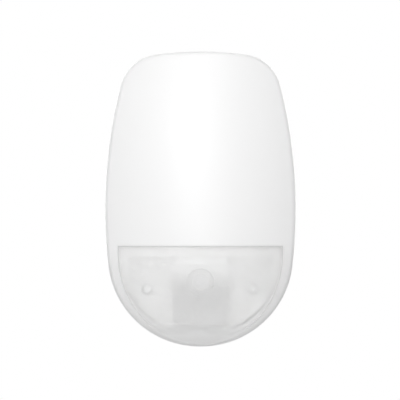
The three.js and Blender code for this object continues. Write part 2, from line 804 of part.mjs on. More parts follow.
function batteryCell() {
  const half = cellLength / 2;
  return lyingTurning([
    [-half, 0], [-half, cellRadius - cellRound], [cellRound - half, cellRadius],
    [half - cellNubHeight - cellRound, cellRadius], [half - cellNubHeight, cellRadius - cellRound],
    [half - cellNubHeight, cellNubRadius], [half, cellNubRadius], [half, 0],
  ], roundSides);
}

function contactPlate(side) {
  const inner = side * (cavityHalfLength - contactThickness - slidingGap);
  const outer = side * (cavityHalfLength - slidingGap);
  return block(Math.min(inner, outer), Math.max(inner, outer), seatDepth + holderFloor + contactAboveFloor,
    cellCentreDepth + cellRadius * contactTopShare, cellZ - contactWidth / 2, cellZ + contactWidth / 2);
}

function positiveContact() {
  const face = cavityHalfLength - slidingGap - contactThickness / 2;
  const dimple = lyingTurning([
    [cellLength / 2 + gap, 0], [cellLength / 2 + gap, contactDimpleRadius - contactDimpleHeight],
    [face, contactDimpleRadius], [face, 0],
  ], smallRoundSides);
  return join(contactPlate(1), dimple);
}

function negativeContact() {
  const plateX = -(cavityHalfLength - slidingGap - contactThickness / 2);
  const nearX = -(cellLength / 2 + gap);
  const lowDepth = cellCentreDepth - cellRadius / 2;
  const highDepth = cellCentreDepth + cellRadius / 2;
  const leaf = column([
    [plateX, lowDepth], [nearX - contactThickness / 2, cellCentreDepth - contactDimpleRadius],
    [nearX, cellCentreDepth], [nearX - contactThickness / 2, cellCentreDepth + contactDimpleRadius],
    [plateX, highDepth],
  ], cellZ - contactWidth / 4, cellZ + contactWidth / 4);
  return join(contactPlate(-1), leaf);
}

addPiece("battery_holder", batteryHolder(), blackPlastic());
addPiece("battery_cell", batteryCell(), cellWrap());
addPiece("battery_contact_positive", positiveContact(), springBrass());
addPiece("battery_contact_negative", negativeContact(), springBrass());

// Parts soldered on the board
const chipX = boardHalfWidth * chipXShare;
const chipZ = radioRowZ;
const radioX = boardHalfWidth * radioXShare;
const radioZ = radioRowZ;
const capacitorX = boardHalfWidth * capacitorXShare;
const capacitorZ = switchRowZ;
const antennaFootX = radioX + radioWidth / 2 + antennaBesideRadio;
const antennaTurnX = boardHalfWidth * antennaTurnXShare;
const antennaZ = radioZ - radioHeight * antennaZShare;
const antennaEndZ = halfHeight * antennaEndShare;

function controllerChip() {
  const half = chipSize / 2;
  return block(chipX - half, chipX + half, seatDepth, seatDepth + chipThickness, chipZ - half, chipZ + half);
}

function radioShield() {
  return plate(roundRectangle(radioX, radioZ, radioWidth / 2, radioHeight / 2, radioRound),
    seatDepth, seatDepth + radioThickness);
}

function capacitor() {
  const top = seatDepth + capacitorHeight;
  const can = rod(capacitorX, capacitorZ, seatDepth, top - capacitorRound, capacitorRadius);
  const crown = rod(capacitorX, capacitorZ, seatDepth, top, capacitorRadius - capacitorRound);
  return join(can, crown);
}

// Antenna wire: stands up from the board, runs across it, turns up beside the chip and ends free.
function antennaWire() {
  const depth = seatDepth + antennaRise;
  const bend = antennaRise / 2;
  const path = new THREE.CatmullRomCurve3([
    new THREE.Vector3(antennaFootX, -seatDepth, antennaZ),
    new THREE.Vector3(antennaFootX, bend - depth, antennaZ),
    new THREE.Vector3(antennaFootX - bend, -depth, antennaZ),
    new THREE.Vector3(antennaTurnX + bend, -depth, antennaZ),
    new THREE.Vector3(antennaTurnX, -depth, antennaZ + bend),
    new THREE.Vector3(antennaTurnX, -depth, antennaEndZ),
  ], false, "centripetal");
  const section = new THREE.Shape().absarc(0, 0, antennaRadius, 0, Math.PI * 2);
  const settings = { steps: antennaSteps, extrudePath: path, curveSegments: 4 };
  return solid(new THREE.ExtrudeGeometry(section, settings));
}

addPiece("controller_chip", controllerChip(), blackPlastic());
addPiece("radio_shield", radioShield(), platedSteel());
addPiece("capacitor", capacitor(), platedSteel());
addPiece("antenna_wire", antennaWire(), springBrass());

// Setting switches: one body with three sliders
const dipX = boardHalfWidth * dipXShare;
const dipZ = switchRowZ;
const dipFrontDepth = seatDepth + dipThickness;
const dipSliders = [-dipPitch, 0, dipPitch].map((step) => dipX + step);

function dipSwitchBody() {
  const body = block(dipX - dipWidth / 2, dipX + dipWidth / 2, seatDepth, dipFrontDepth,
    dipZ - dipHeight / 2, dipZ + dipHeight / 2);
  const slots = dipSliders.map((x) => block(x - dipSlotWidth / 2, x + dipSlotWidth / 2,
    dipFrontDepth - dipSlotDepth, dipFrontDepth + overrun,
    dipZ - dipSlotLength / 2, dipZ + dipSlotLength / 2));
  return cut(body, ...slots);
}

function dipSlider(x) {
  const floor = dipFrontDepth - dipSlotDepth + slidingGap;
  const low = dipZ - dipTravel / 2 - sliderLength / 2;
  return block(x - sliderWidth / 2, x + sliderWidth / 2, floor, floor + sliderHeight,
    low, low + sliderLength);
}

addPiece("dip_switch_body", dipSwitchBody(), bluePlastic());
dipSliders.forEach((x, index) => addPiece(`dip_slider_${index + 1}`, dipSlider(x), insideWhitePlastic()));

// Pairing button
const pairX = boardHalfWidth * pairXShare;
const pairZ = radioRowZ;

function pairSwitchBody() {
  const half = pairSize / 2;
  const front = seatDepth + pairBodyThickness;
  const body = block(pairX - half, pairX + half, seatDepth, front, pairZ - half, pairZ + half);
  const well = rod(pairX, pairZ, front - pairPocket - pairTravel - slidingGap, front + overrun,
    pairButtonRadius + slidingGap);
  return cut(body, well);
}

function pairButton() {
  const back = seatDepth + pairBodyThickness - pairPocket;
  return rod(pairX, pairZ, back, back + pairButtonHeight, pairButtonRadius);
}

addPiece("pair_switch_body", pairSwitchBody(), blackPlastic());
addPiece("pair_button", pairButton(), insideWhitePlastic());

// Tamper switch: the closed cover holds its plunger down
const tamperX = boardHalfWidth * tamperXShare;
const tamperZ = switchRowZ;
const tamperFrontDepth = seatDepth + tamperBodyThickness;
const tamperBackDepth = tamperFrontDepth - tamperTravel - tamperGrip;
const plungerFrontDepth = tamperBackDepth + slidingGap + tamperPlungerLength;
const shelfBackDepth = plungerFrontDepth + gap;

function tamperSwitchBody() {
  const half = tamperSize / 2;
  const body = block(tamperX - half, tamperX + half, seatDepth, tamperFrontDepth,
    tamperZ - half, tamperZ + half);
  const well = rod(tamperX, tamperZ, tamperBackDepth, tamperFrontDepth + overrun,
    tamperPlungerRadius + slidingGap, smallRoundSides);
  return cut(body, well);
}

function tamperPlunger() {
  return rod(tamperX, tamperZ, tamperBackDepth + slidingGap, plungerFrontDepth,
    tamperPlungerRadius, smallRoundSides);
}

addPiece("tamper_switch_body", tamperSwitchBody(), blackPlastic());
addPiece("tamper_plunger", tamperPlunger(), insideWhitePlastic());

// Wall tamper switch: its plunger reaches through the housing floor and is held in by the wall
const wallTamperFrontDepth = boardBackDepth - gap;
const wallTamperBackDepth = wallTamperFrontDepth - wallTamperBodyThickness;
const wallTamperWell = wallTamperTravel + wallTamperGrip;

function wallTamperBody() {
  const half = wallTamperSize / 2;
  const body = block(wallTamperX - half, wallTamperX + half, wallTamperBackDepth, wallTamperFrontDepth,
    wallTamperZ - half, wallTamperZ + half);
  const well = rod(wallTamperX, wallTamperZ, wallTamperBackDepth - overrun,
    wallTamperBackDepth + wallTamperWell, wallTamperPlungerRadius + slidingGap, smallRoundSides);
  return cut(body, well);
}

function wallTamperPlunger() {
  return rod(wallTamperX, wallTamperZ, wallTamperSetBack, wallTamperBackDepth + wallTamperWell - slidingGap,
    wallTamperPlungerRadius, smallRoundSides);
}

addPiece("wall_tamper_body", wallTamperBody(), blackPlastic());
addPiece("wall_tamper_plunger", wallTamperPlunger(), insideWhitePlastic());

// Front cover: a shell with the lens window, hook pockets, screw boss and tamper shelf
const coverBackDepth = seamDepth + gap;

function hookPocket(x) {
  return block(x - hookWidth / 2 - gap, x + hookWidth / 2 + gap, coverBackDepth + pocketRearWall,
    seamDepth + hookReach + gap, hookTopZ - hookThickness, hookTopZ + hookNib + gap);
}

function screwBoss() {
  return uprightRod(0, screwAxisDepth, -halfHeight - overrun, screwBossTopZ, screwBossRadius)
    .intersect(caseBody(0, coverBackDepth));
}

function screwBossHoles() {
  const shoulder = screwBossTopZ - screwSeatThickness;
  const headRoom = uprightRod(0, screwAxisDepth, -halfHeight - overrun, shoulder, screwHeadRadius + gap);
  const shankRoom = uprightRod(0, screwAxisDepth, shoulder - overrun, screwBossTopZ + overrun,
    screwShankRadius + slidingGap, smallRoundSides);
  return join(headRoom, shankRoom);
}

function tamperShelf() {
  const shelf = block(tamperX - tamperPlungerRadius - gap, caseHalfWidth, shelfBackDepth,
    shelfBackDepth + shelfThickness, tamperZ - shelfHeight / 2, tamperZ + shelfHeight / 2);
  return shelf.intersect(caseBody(coverWall / 2, coverBackDepth));
}

function frontCover() {
  const shell = cut(caseBody(0, coverBackDepth), caseBody(coverWall, coverBackDepth - overrun));
  const whole = join(cut(shell, windowPrism(0, windowBackDepth)), screwBoss(), tamperShelf());
  return cut(whole, screwBossHoles(), hookPocket(-hookX), hookPocket(hookX));
}

addPiece("front_cover", frontCover(), whiteCasePlastic());

// Lens: a thin skin in the window, a border wall through the cover and a flange behind it
function lensLayer(outerInset, thickness) {
  const inner = caseBody(outerInset + thickness, coverBackDepth - overrun);
  return cut(caseBody(outerInset, coverBackDepth), inner);
}

function fresnelLens() {
  const back = windowBackDepth + gap;
  const hole = windowPrism(-slidingGap - lensBorder, back - overrun);
  const flangeInset = coverWall + gap;
  const skin = lensLayer(lensRecess, lensThickness).intersect(windowPrism(-slidingGap, back));
  const border = lensLayer(lensRecess, flangeInset + lensFlangeThickness - lensRecess)
    .intersect(cut(windowPrism(-slidingGap, back), hole));
  const flange = lensLayer(flangeInset, lensFlangeThickness)
    .intersect(cut(windowPrism(lensFlange, back), hole));
  return join(skin, border, flange);
}

function lensRetainer() {
  const inset = coverWall + gap + lensFlangeThickness + gap;
  const opening = windowPrism(-retainerInner, windowBackDepth - overrun);
  const frame = cut(windowPrism(retainerOuter, windowBackDepth), opening);
  const reach = block(-caseHalfWidth, caseHalfWidth, seamDepth, caseDepth,
    windowTopZ - retainerLegLength, windowTopZ + retainerOuter + overrun);
  return lensLayer(inset, retainerThickness).intersect(frame).intersect(reach);
}

addPiece("fresnel_lens", fresnelLens(), frostedLensPlastic());
addPiece("lens_retainer", lensRetainer(), insideWhitePlastic());

// Cover screw, backed off in its boss so that the cover is free to swing
function coverScrew() {
  const headBottom = screwHeadBottomZ;
  const headTop = headBottom + screwHeadHeight;
  const head = uprightRod(0, screwAxisDepth, headBottom, headTop, screwHeadRadius);
  const shank = uprightRod(0, screwAxisDepth, headBottom + screwHeadHeight / 2,
    screwBossTopZ - slidingGap, screwShankRadius, smallRoundSides);
  const slot = block(-screwHeadRadius - overrun, screwHeadRadius + overrun,
    screwAxisDepth - screwSlotWidth / 2, screwAxisDepth + screwSlotWidth / 2,
    headBottom - overrun, headBottom + screwSlotDepth);
  return cut(join(head, shank), slot);
}

addPiece("cover_screw", coverScrew(), platedSteel());

export default detector;
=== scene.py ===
# Motion detector for a wall: white egg-shaped case, frosted lens at its foot, board and battery inside.
import math

import bmesh
import bpy
import numpy as np
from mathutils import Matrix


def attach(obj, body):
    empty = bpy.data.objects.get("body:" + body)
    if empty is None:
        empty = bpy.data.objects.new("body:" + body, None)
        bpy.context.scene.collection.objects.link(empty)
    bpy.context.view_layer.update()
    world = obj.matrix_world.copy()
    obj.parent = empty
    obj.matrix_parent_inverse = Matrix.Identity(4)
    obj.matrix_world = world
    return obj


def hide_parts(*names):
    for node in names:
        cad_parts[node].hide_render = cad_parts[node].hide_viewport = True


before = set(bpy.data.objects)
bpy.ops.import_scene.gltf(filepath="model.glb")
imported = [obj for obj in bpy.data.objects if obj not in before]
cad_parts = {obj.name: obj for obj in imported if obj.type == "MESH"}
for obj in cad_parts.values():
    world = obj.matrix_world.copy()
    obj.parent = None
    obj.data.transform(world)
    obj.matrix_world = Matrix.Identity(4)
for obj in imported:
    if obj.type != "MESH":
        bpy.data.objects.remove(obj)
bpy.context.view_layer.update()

# Sizes are in millimetres, and mm makes them metres. Depth runs from the wall to the room, so Y = -depth.
mm = 0.001

# Camera and studio: the camera stands straight in front of the case, far off, with a long lens.
# A pale floor lies below the case and keeps its shadow; lamps are large and soft.
picture_width = 139.2
picture_plane_depth = 34
picture_centre_x = -0.16
picture_centre_z = -0.26
lens_length = 600
sensor_width = 36
view_reach = 20
camera_distance = picture_width / sensor_width * lens_length
camera_data = bpy.data.cameras.new("studio_camera")
camera_data.lens = lens_length
camera_data.sensor_width = sensor_width
camera_data.clip_end = view_reach
camera = bpy.data.objects.new("studio_camera", camera_data)
camera.location = (picture_centre_x * mm, -(picture_plane_depth + camera_distance) * mm,
                   picture_centre_z * mm)
camera.rotation_euler = (math.pi / 2, 0, 0)
bpy.context.scene.collection.objects.link(camera)
bpy.context.scene.camera = camera
bpy.context.scene.view_settings.view_transform = "Standard"


def feed(node, inputs):
    """Gives each named input of a node a plain value or another node's output."""
    for name, value in inputs.items():
        if isinstance(value, bpy.types.NodeSocket):
            node.id_data.links.new(value, node.inputs[name])
        else:
            node.inputs[name].default_value = value


def new_node(tree, kind, inputs, **settings):
    """New shader node with its settings made before its inputs are fed."""
    node = tree.nodes.new("ShaderNode" + kind)
    for name, value in settings.items():
        setattr(node, name, value)
    feed(node, inputs)
    return node


def worked_out(operation, first, *second):
    """Result of a Math node on a socket and, where it takes two, a second socket or number."""
    node = new_node(first.id_data, "Math", dict(enumerate((first, *second))), operation=operation)
    return node.outputs["Value"]


def spread_over(value, low, high, to_low, to_high):
    """Result of a Map Range node, from low to high onto two other values."""
    inputs = {"Value": value, "From Min": low, "From Max": high, "To Min": to_low, "To Max": to_high}
    return new_node(value.id_data, "MapRange", inputs).outputs["Result"]


room_light = 0.185
world = bpy.data.worlds.new("studio")
bpy.context.scene.world = world
world.use_nodes = True
path = world.node_tree.nodes.new("ShaderNodeLightPath").outputs
seen = worked_out("MAXIMUM", path["Is Camera Ray"], path["Is Glossy Ray"])
seen = worked_out("MAXIMUM", seen, path["Is Transmission Ray"])
feed(world.node_tree.nodes["Background"],
     {"Color": (1, 1, 1, 1), "Strength": spread_over(seen, 0, 1, room_light, 1)})

lamp_distance = 1.5
lamps = [
    ("front_softbox", 0, 0, 0.8, 4.85),
    ("front_spot", -5, 7, 0.3, 0.8),
    ("upper_softbox", 0, 35, 0.8, 4.3),
    ("top_softbox", 0, 65, 0.8, 4.7),
    ("left_softbox", -35, 35, 0.8, 1.5),
    ("high_spot", -12, 40, 0.35, 0.75),
    ("low_spot", -8, 25, 0.3, 2.6),
    ("left_back_softbox", -150, 10, 1.0, 8),
    ("right_back_softbox", 150, 10, 1.0, 8),
    ("back_softbox", 180, 40, 1.0, 2),
]
for name, turn_degrees, height_degrees, size, power in lamps:
    turn = math.radians(turn_degrees)
    height = math.radians(height_degrees)
    light = bpy.data.lights.new(name, "AREA")
    light.shape = "RECTANGLE"
    light.size = size
    light.size_y = size
    light.energy = power
    lamp = bpy.data.objects.new(name, light)
    level = lamp_distance * math.cos(height)
    lamp.location = (level * math.sin(turn), -level * math.cos(turn), lamp_distance * math.sin(height))
    lamp.rotation_euler = (math.pi / 2 - height, 0, turn)
    bpy.context.scene.collection.objects.link(lamp)


def finish_of(name, colour, roughness, metallic=0.0):
    """New material with its main values on the shader's own sockets."""
    material = bpy.data.materials.new(name)
    material.use_nodes = True
    shader = material.node_tree.nodes["Principled BSDF"]
    feed(shader, {"Base Color": (*colour, 1), "Roughness": roughness, "Metallic": metallic})
    return material, shader


def put_on(piece, material):
    piece.data.materials.clear()
    piece.data.materials.append(material)


floor_height = -0.12
floor_width = 3
bpy.ops.mesh.primitive_plane_add(size=floor_width, location=(0, 0, floor_height))
floor = bpy.context.object
floor.name = "studio_floor"
put_on(floor, finish_of("studio_floor_paint", (0.75, 0.75, 0.75), 0.8)[0])

# Front cover: the egg-shaped shell that one sees. Injection moulded white ABS, 2 mm thick, with the lens
# window in its lower third, a boss for the cover screw, pockets for two hooks and a shelf for the tamper pin.
case_height = 103
half_height = case_height / 2
half_width = 33.146
widest_z = -3
side_radius = 175
top_radius = 120
corner_radius = 14.4
case_depth = 48.5
fullest_z = -15
brow_depth = 33
chin_depth = 24
cross_radius = 60
edge_radius = 1.2
cover_wall = 2
seam_depth = 15
gap = 0.3
cover_back = seam_depth + gap


def outline_arcs():
    """Centre, radius, first and last angle of the arcs of the right half, from the top down."""
    top = (0, half_height - top_radius)
    side = (half_width - side_radius, widest_z)
    drop = widest_z + half_height
    bottom_radius = (2 * side_radius * half_width - half_width ** 2 - drop ** 2) / 2 / (side_radius - drop)
    bottom = (0, bottom_radius - half_height)
    apart = math.hypot(side[0] - top[0], side[1] - top[1])
    from_top = top_radius - corner_radius
    from_side = side_radius - corner_radius
    along = (from_top ** 2 - from_side ** 2 + apart ** 2) / (2 * apart)
    aside = math.sqrt(from_top ** 2 - along ** 2)
    way = ((side[0] - top[0]) / apart, (side[1] - top[1]) / apart)
    corner = (top[0] + along * way[0] + aside * way[1], top[1] + along * way[1] - aside * way[0])
    corner_start = math.atan2(corner[1] - top[1], corner[0] - top[0])
    corner_end = math.atan2(corner[1] - side[1], corner[0] - side[0])
    bottom_start = math.atan2(bottom[1] - side[1], bottom[0] - side[0])
    return [
        (top, top_radius, math.pi / 2, corner_start),
        (corner, corner_radius, corner_start, corner_end),
        (side, side_radius, corner_end, bottom_start),
        (bottom, bottom_radius, bottom_start, -math.pi / 2),
    ]


case_arcs = outline_arcs()
arc_lengths = np.array([radius * (start - end) for _, radius, start, end in case_arcs])
arc_starts = np.concatenate([[0], np.cumsum(arc_lengths)])
half_outline = arc_starts[-1]


def outline_points(along, inset):
    """Points of the outline's right half at lengths along it, moved square inwards by an inset."""
    along = np.atleast_1d(np.asarray(along, float))
    inset = np.broadcast_to(inset, along.shape)
    points = np.zeros((len(along), 2))
    which = np.clip(np.searchsorted(arc_starts, along, side="right") - 1, 0, 3)
    for index, (centre, radius, start, _) in enumerate(case_arcs):
        here = which == index
        angle = start - (along[here] - arc_starts[index]) / radius
        points[here, 0] = centre[0] + (radius - inset[here]) * np.cos(angle)
        points[here, 1] = centre[1] + (radius - inset[here]) * np.sin(angle)
    return points


outline_steps = np.linspace(0, half_outline, 5000)
dense_outline = outline_points(outline_steps, 0)


def edge_distance(points):
    """Distance of each point from the outline."""
    right = np.abs(points[:, :1])
    away = np.hypot(dense_outline[None, :, 0] - right, dense_outline[None, :, 1] - points[:, 1:2])
    return away.min(axis=1)


def face_depth(points, inset=0.0):
    """Depth of the crowned front, stepped inwards square to the face."""
    x = points[:, 0]
    z = points[:, 1]
    fall = case_depth - np.where(z > fullest_z, brow_depth, chin_depth)
    run = np.where(z > fullest_z, half_height - fullest_z, half_height + fullest_z)
    radius = (run ** 2 + fall ** 2) / (2 * fall)
    upright = np.sqrt(radius ** 2 - (z - fullest_z) ** 2)
    across = np.sqrt(cross_radius ** 2 - x ** 2)
    lean = np.sqrt(1 + ((z - fullest_z) / upright) ** 2 + (x / across) ** 2)
    return case_depth - (radius - upright) - (cross_radius - across) - inset * lean


def skin_depth(points, inset=0.0):
    """Depth of the front with its rounded edge, stepped inwards by an inset."""
    radius = max(edge_radius - inset, 0.001)
    share = np.clip((edge_distance(points) - inset) / radius, 0, 1)
    return face_depth(points, inset) - radius * (1 - np.sqrt(1 - (1 - share) ** 2))


window_top = -16.15
window_half_width = half_width - 4.45
window_ellipse_z = window_top - 2.8
window_rim = 0.75
window_back = 23.3
upper_steps = 56
lower_steps = 72
level_along = np.interp(-window_top, -dense_outline[:, 1], outline_steps)
around = np.concatenate([
    np.linspace(0, level_along, upper_steps, endpoint=False),
    np.linspace(level_along, half_outline, lower_steps + 1),
])


def window_edge(growth):
    """Right half of the window's edge, top middle to bottom middle, moved outwards by a growth."""
    side = window_half_width + growth
    drop = window_ellipse_z + half_height - window_rim + growth
    turn = np.linspace(0, math.pi / 2, 400)
    low = np.stack([side * np.cos(turn), window_ellipse_z - drop * np.sin(turn)], axis=1)
    low = np.concatenate([[[side, window_top + growth]], low])
    length = np.concatenate([[0], np.cumsum(np.hypot(*np.diff(low, axis=0).T))])
    even = np.linspace(0, length[-1], lower_steps + 1)
    lower = np.stack([np.interp(even, length, low[:, 0]), np.interp(even, length, low[:, 1])], axis=1)
    upper = np.stack([np.linspace(0, side, upper_steps, endpoint=False),
                      np.full(upper_steps, window_top + growth)], axis=1)
    return np.concatenate([upper, lower])


def row(points, depth):
    """One line of the mesh, right half, as x, depth and z."""
    depth = np.broadcast_to(depth, len(points))
    return np.stack([points[:, 0], depth, points[:, 1]], axis=1)


def clear_selection():
    bpy.ops.object.select_all(action="DESELECT")


def sew(name, rows):
    """Closed skin over whole loops of x, depth and z: a grid laid along them and sewn up."""
    clear_selection()
    lines, spots = rows.shape[:2]
    bpy.ops.mesh.primitive_grid_add(x_subdivisions=spots - 1, y_subdivisions=lines - 1, size=1)
    skin = bpy.context.object
    skin.name = name
    places = np.stack([rows[..., 0], -rows[..., 1], rows[..., 2]], axis=-1).reshape(-1, 3) * mm
    skin.data.vertices.foreach_set("co", places.ravel())
    bpy.ops.object.mode_set(mode="EDIT")
    bpy.ops.mesh.select_all(action="SELECT")
    bpy.ops.mesh.remove_doubles(threshold=0.0005 * mm)
    bpy.ops.mesh.dissolve_degenerate(threshold=0.0005 * mm)
    bpy.ops.mesh.normals_make_consistent(inside=False)
    bpy.ops.object.mode_set(mode="OBJECT")
    skin.data.transform(skin.matrix_world)
    skin.matrix_world.identity()
    return skin


def lay_skin(name, rows):
    """Skin over rows that each hold the right half of a loop."""
    rows = np.array(rows)
    left = rows[:, -2::-1] * np.array([-1, 1, 1])
    return sew(name, np.concatenate([rows, left], axis=1))


def pick(piece):
    clear_selection()
    piece.select_set(True)
    bpy.context.view_layer.objects.active = piece


def settle(piece, name=None):
    """Puts a piece's place into its mesh."""
    pick(piece)
    bpy.ops.object.transform_apply(location=True, rotation=True, scale=True)
    if name:
        piece.name = name
    return piece


def block(name, x0, x1, depth0, depth1, z0, z1):
    clear_selection()
    bpy.ops.mesh.primitive_cube_add(
        size=1, location=((x0 + x1) / 2 * mm, -(depth0 + depth1) / 2 * mm, (z0 + z1) / 2 * mm),
        scale=((x1 - x0) * mm, (depth1 - depth0) * mm, (z1 - z0) * mm))
    return settle(bpy.context.object, name)


def upright_rod(name, x, depth, z0, z1, radius, sides=48):
    clear_selection()
    bpy.ops.mesh.primitive_cylinder_add(
        vertices=sides, radius=radius * mm, depth=(z1 - z0) * mm,
        location=(x * mm, -depth * mm, (z0 + z1) / 2 * mm))
    return settle(bpy.context.object, name)


def combine(piece, tool, operation):
    """Joins a tool to a piece or cuts it out, and removes the tool."""
    pick(piece)
    modifier = piece.modifiers.new("combine", "BOOLEAN")
    modifier.operation = operation
    modifier.solver = "EXACT"
    modifier.object = tool
    bpy.ops.object.modifier_apply(modifier="combine")
    bpy.data.objects.remove(tool)
    return piece


def cut(piece, *tools):
    for tool in tools:
        combine(piece, tool, "DIFFERENCE")
    return piece


def join(piece, *tools):
    for tool in tools:
        combine(piece, tool, "UNION")
    return piece


def smooth(piece, degrees=30):
    pick(piece)
    bpy.ops.object.shade_smooth_by_angle(angle=math.radians(degrees))
    return piece


# The shell's lines run from the window's edge over the face and side wall to the seam, and back inside.
window_round = 0.05
seam_round = 0.25
edge = window_edge(0)
edge_out = window_edge(window_round)
rounding = np.minimum(edge_radius, 0.8 * edge_distance(edge_out))
face_end = outline_points(around, rounding)
rows = []
for share in np.concatenate([[0, 0.003], np.linspace(0.012, 1, 21)]):
    points = edge_out + (face_end - edge_out) * share
    rows.append(row(points, skin_depth(points)))
turn_start = np.arccos(1 - rounding / edge_radius)
for share in np.linspace(0, 1, 10)[1:]:
    turn = turn_start * (1 - share)
    points = outline_points(around, edge_radius * (1 - np.cos(turn)))
    rows.append(row(points, face_depth(points) - edge_radius * (1 - np.sin(turn))))
rim = outline_points(around, 0)
rows.append(row(rim, (face_depth(rim) - edge_radius + cover_back) / 2))
for turn in np.linspace(0, math.pi / 2, 4):
    points = outline_points(around, seam_round * (1 - np.cos(turn)))
    rows.append(row(points, cover_back + seam_round * (1 - np.sin(turn))))
inner = outline_points(around, cover_wall)
has_face = edge_distance(edge) > cover_wall
wall_top = np.where(has_face, face_depth(inner, cover_wall), window_back)
rows += [row(inner, cover_back), row(inner, (cover_back + wall_top) / 2)]
for share in np.linspace(0, 1, 9):
    points = inner + (edge - inner) * share
    rows.append(row(points, np.where(has_face, face_depth(points, cover_wall), window_back)))
for share in np.linspace(0, 1, 5):
    turn = share * math.pi / 2
    points = edge + (edge_out - edge) * (1 - math.cos(turn))
    depth = skin_depth(edge) - window_round * (1 - math.sin(turn)) if share < 1 else skin_depth(edge_out)
    rows.append(row(points, depth))
cover = lay_skin("cover_shell", rows)

screw_boss_radius = 3.6
screw_head_radius = 1.9
screw_head_height = 1.6
screw_shank_radius = 1.1
screw_travel = 3
sliding_gap = 0.2
tamper_x = 18.48
tamper_z = 2.02
shelf_back = 24
shelf_front = 26.4
screw_axis_depth = seam_depth + gap + 0.5 + screw_boss_radius
screw_head_bottom = -half_height + 0.3
screw_boss_top = screw_head_bottom + screw_head_height + screw_travel + 1
join(cover, upright_rod("boss", 0, screw_axis_depth, -half_height + 1, screw_boss_top, screw_boss_radius),
     block("shelf", tamper_x - 1.6, half_width - 1, shelf_back, shelf_front, tamper_z - 1.5, tamper_z + 1.5),
     block("rib", 24, half_width - 1, shelf_front - 0.2, 31, 1.3, 2.7))
cut(cover, upright_rod("head_room", 0, screw_axis_depth, -half_height - 1, screw_boss_top - 1,
                       screw_head_radius + gap),
    upright_rod("shank_room", 0, screw_axis_depth, screw_boss_top - 2, screw_boss_top + 1,
                screw_shank_radius + sliding_gap))
hook_places = (-7.5, 7.5)
hook_half = 2.5
hook_thickness = 1.2
hook_top = half_height - 2.3 - top_radius + math.sqrt(top_radius ** 2 - (hook_places[1] + hook_half) ** 2)
for x in hook_places:
    cut(cover, block("hook_pocket", x - hook_half - gap, x + hook_half + gap, cover_back + 1.1,
                     seam_depth + 4.5, hook_top - hook_thickness, hook_top + 1.6))


def add_grain(shader, scale, depth):
    """Fine moulded grain in the piece's own coordinates, as bump of a depth in millimetres."""
    tree = shader.id_data
    place = new_node(tree, "TexCoord", {}).outputs["Object"]
    grain = new_node(tree, "TexNoise", {"Vector": place, "Scale": scale, "Detail": 4})
    bump = {"Strength": 0.25, "Distance": depth * mm, "Height": grain.outputs["Fac"]}
    feed(shader, {"Normal": new_node(tree, "Bump", bump).outputs["Normal"]})
    return place


def uneven_gloss(shader, place, low, high, scale):
    """Patches between a low and a high roughness."""
    patches = new_node(shader.id_data, "TexNoise", {"Vector": place, "Scale": scale, "Detail": 3})
    feed(shader, {"Roughness": spread_over(patches.outputs["Fac"], 0, 1, low, high)})


def plain_finish(name, colour, roughness, grain, gloss, metallic=0.0):
    """One colour all over, with fine grain (scale, depth) and uneven gloss (low, high, scale)."""
    material, shader = finish_of(name, colour, roughness, metallic)
    uneven_gloss(shader, add_grain(shader, *grain), *gloss)
    return material


def finish(piece, material, node, body="housing"):
    """A finished piece: its material, the solid that it stands for and its body."""
    put_on(piece, material)
    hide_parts(node)
    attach(piece, body)


case_plastic = plain_finish("case_white", (0.9, 0.9, 0.9), 0.38, (9000, 0.01), (0.34, 0.42, 90))
finish(smooth(cover, 35), case_plastic, "front_cover", "cover")

# Lens: one frosted sheet of milky polyethylene that follows the case's curve, moulded with a flange that
# holds it in the cover from behind. It is smooth outside, and round prism grooves lie inside it.
sensor_z = -0.5553 * half_height
lens_recess = 0.02
lens_play = 0.02
lens_thickness = 1.0
lens_border = 0.3
lens_flange = 2.5
lens_flange_thickness = 1.0
lens_back = window_back + gap
groove_radii = [3.0, 4.75, 6.45, 8.1, 9.6]
groove_depth = 0.06
centre = np.array([0, sensor_z])
outer_edge = window_edge(-lens_play)
rows = []
for share in np.linspace(0, 1, 30):
    points = centre + (outer_edge - centre) * share
    rows.append(row(points, skin_depth(points, lens_recess)))
flange_inset = cover_wall + gap
distance = edge_distance(outer_edge)
room = distance > flange_inset + 0.05
top_depth = skin_depth(outer_edge, lens_recess)
wall_low = np.minimum(face_depth(outer_edge, flange_inset), top_depth - 0.1)
wall_low = np.where(room, wall_low, lens_back + 0.02)
rows += [row(outer_edge, (wall_low + top_depth) / 2), row(outer_edge, wall_low)]
width = np.where(room, np.minimum(lens_flange + lens_play, distance - flange_inset), 0.0)
way = window_edge(lens_flange) - outer_edge
way /= np.hypot(way[:, 0], way[:, 1])[:, None]
tip = outer_edge + way * width[:, None]
back_inset = flange_inset + lens_flange_thickness
rows.append(row(tip, np.where(room, face_depth(tip, flange_inset), lens_back + 0.01)))
rows.append(row(tip, np.where(room, face_depth(tip, back_inset), lens_back)))
inner_edge = window_edge(-sliding_gap - lens_border)
inner_top = skin_depth(inner_edge, lens_recess + lens_thickness)
inner_low = np.minimum(np.where(room, face_depth(inner_edge, back_inset), lens_back), inner_top - 0.05)
rows += [row(inner_edge, inner_low), row(inner_edge, inner_top)]
spoke = inner_edge - centre
spoke_length = np.hypot(spoke[:, 0], spoke[:, 1])
spoke /= spoke_length[:, None]
for share in np.linspace(0, 1, 14)[1:]:
    reach = spoke_length + (groove_radii[-1] + 0.3 - spoke_length) * share
    points = centre + spoke * reach[:, None]
    rows.append(row(points, skin_depth(points, lens_recess + lens_thickness)))
for outside, inside in zip(groove_radii[::-1], groove_radii[-2::-1] + [0.0]):
    groove = [(outside, 0.0), (outside - 0.08, groove_depth), ((outside + inside) / 2, 0.45 * groove_depth),
              (inside + 0.02 if inside else 0.0, 0.0)]
    for reach, rise in groove:
        points = centre + spoke * reach
        rows.append(row(points, skin_depth(points, lens_recess + lens_thickness) + rise))
lens = smooth(lay_skin("lens", rows), 20)
places = np.zeros(len(lens.data.vertices) * 3)
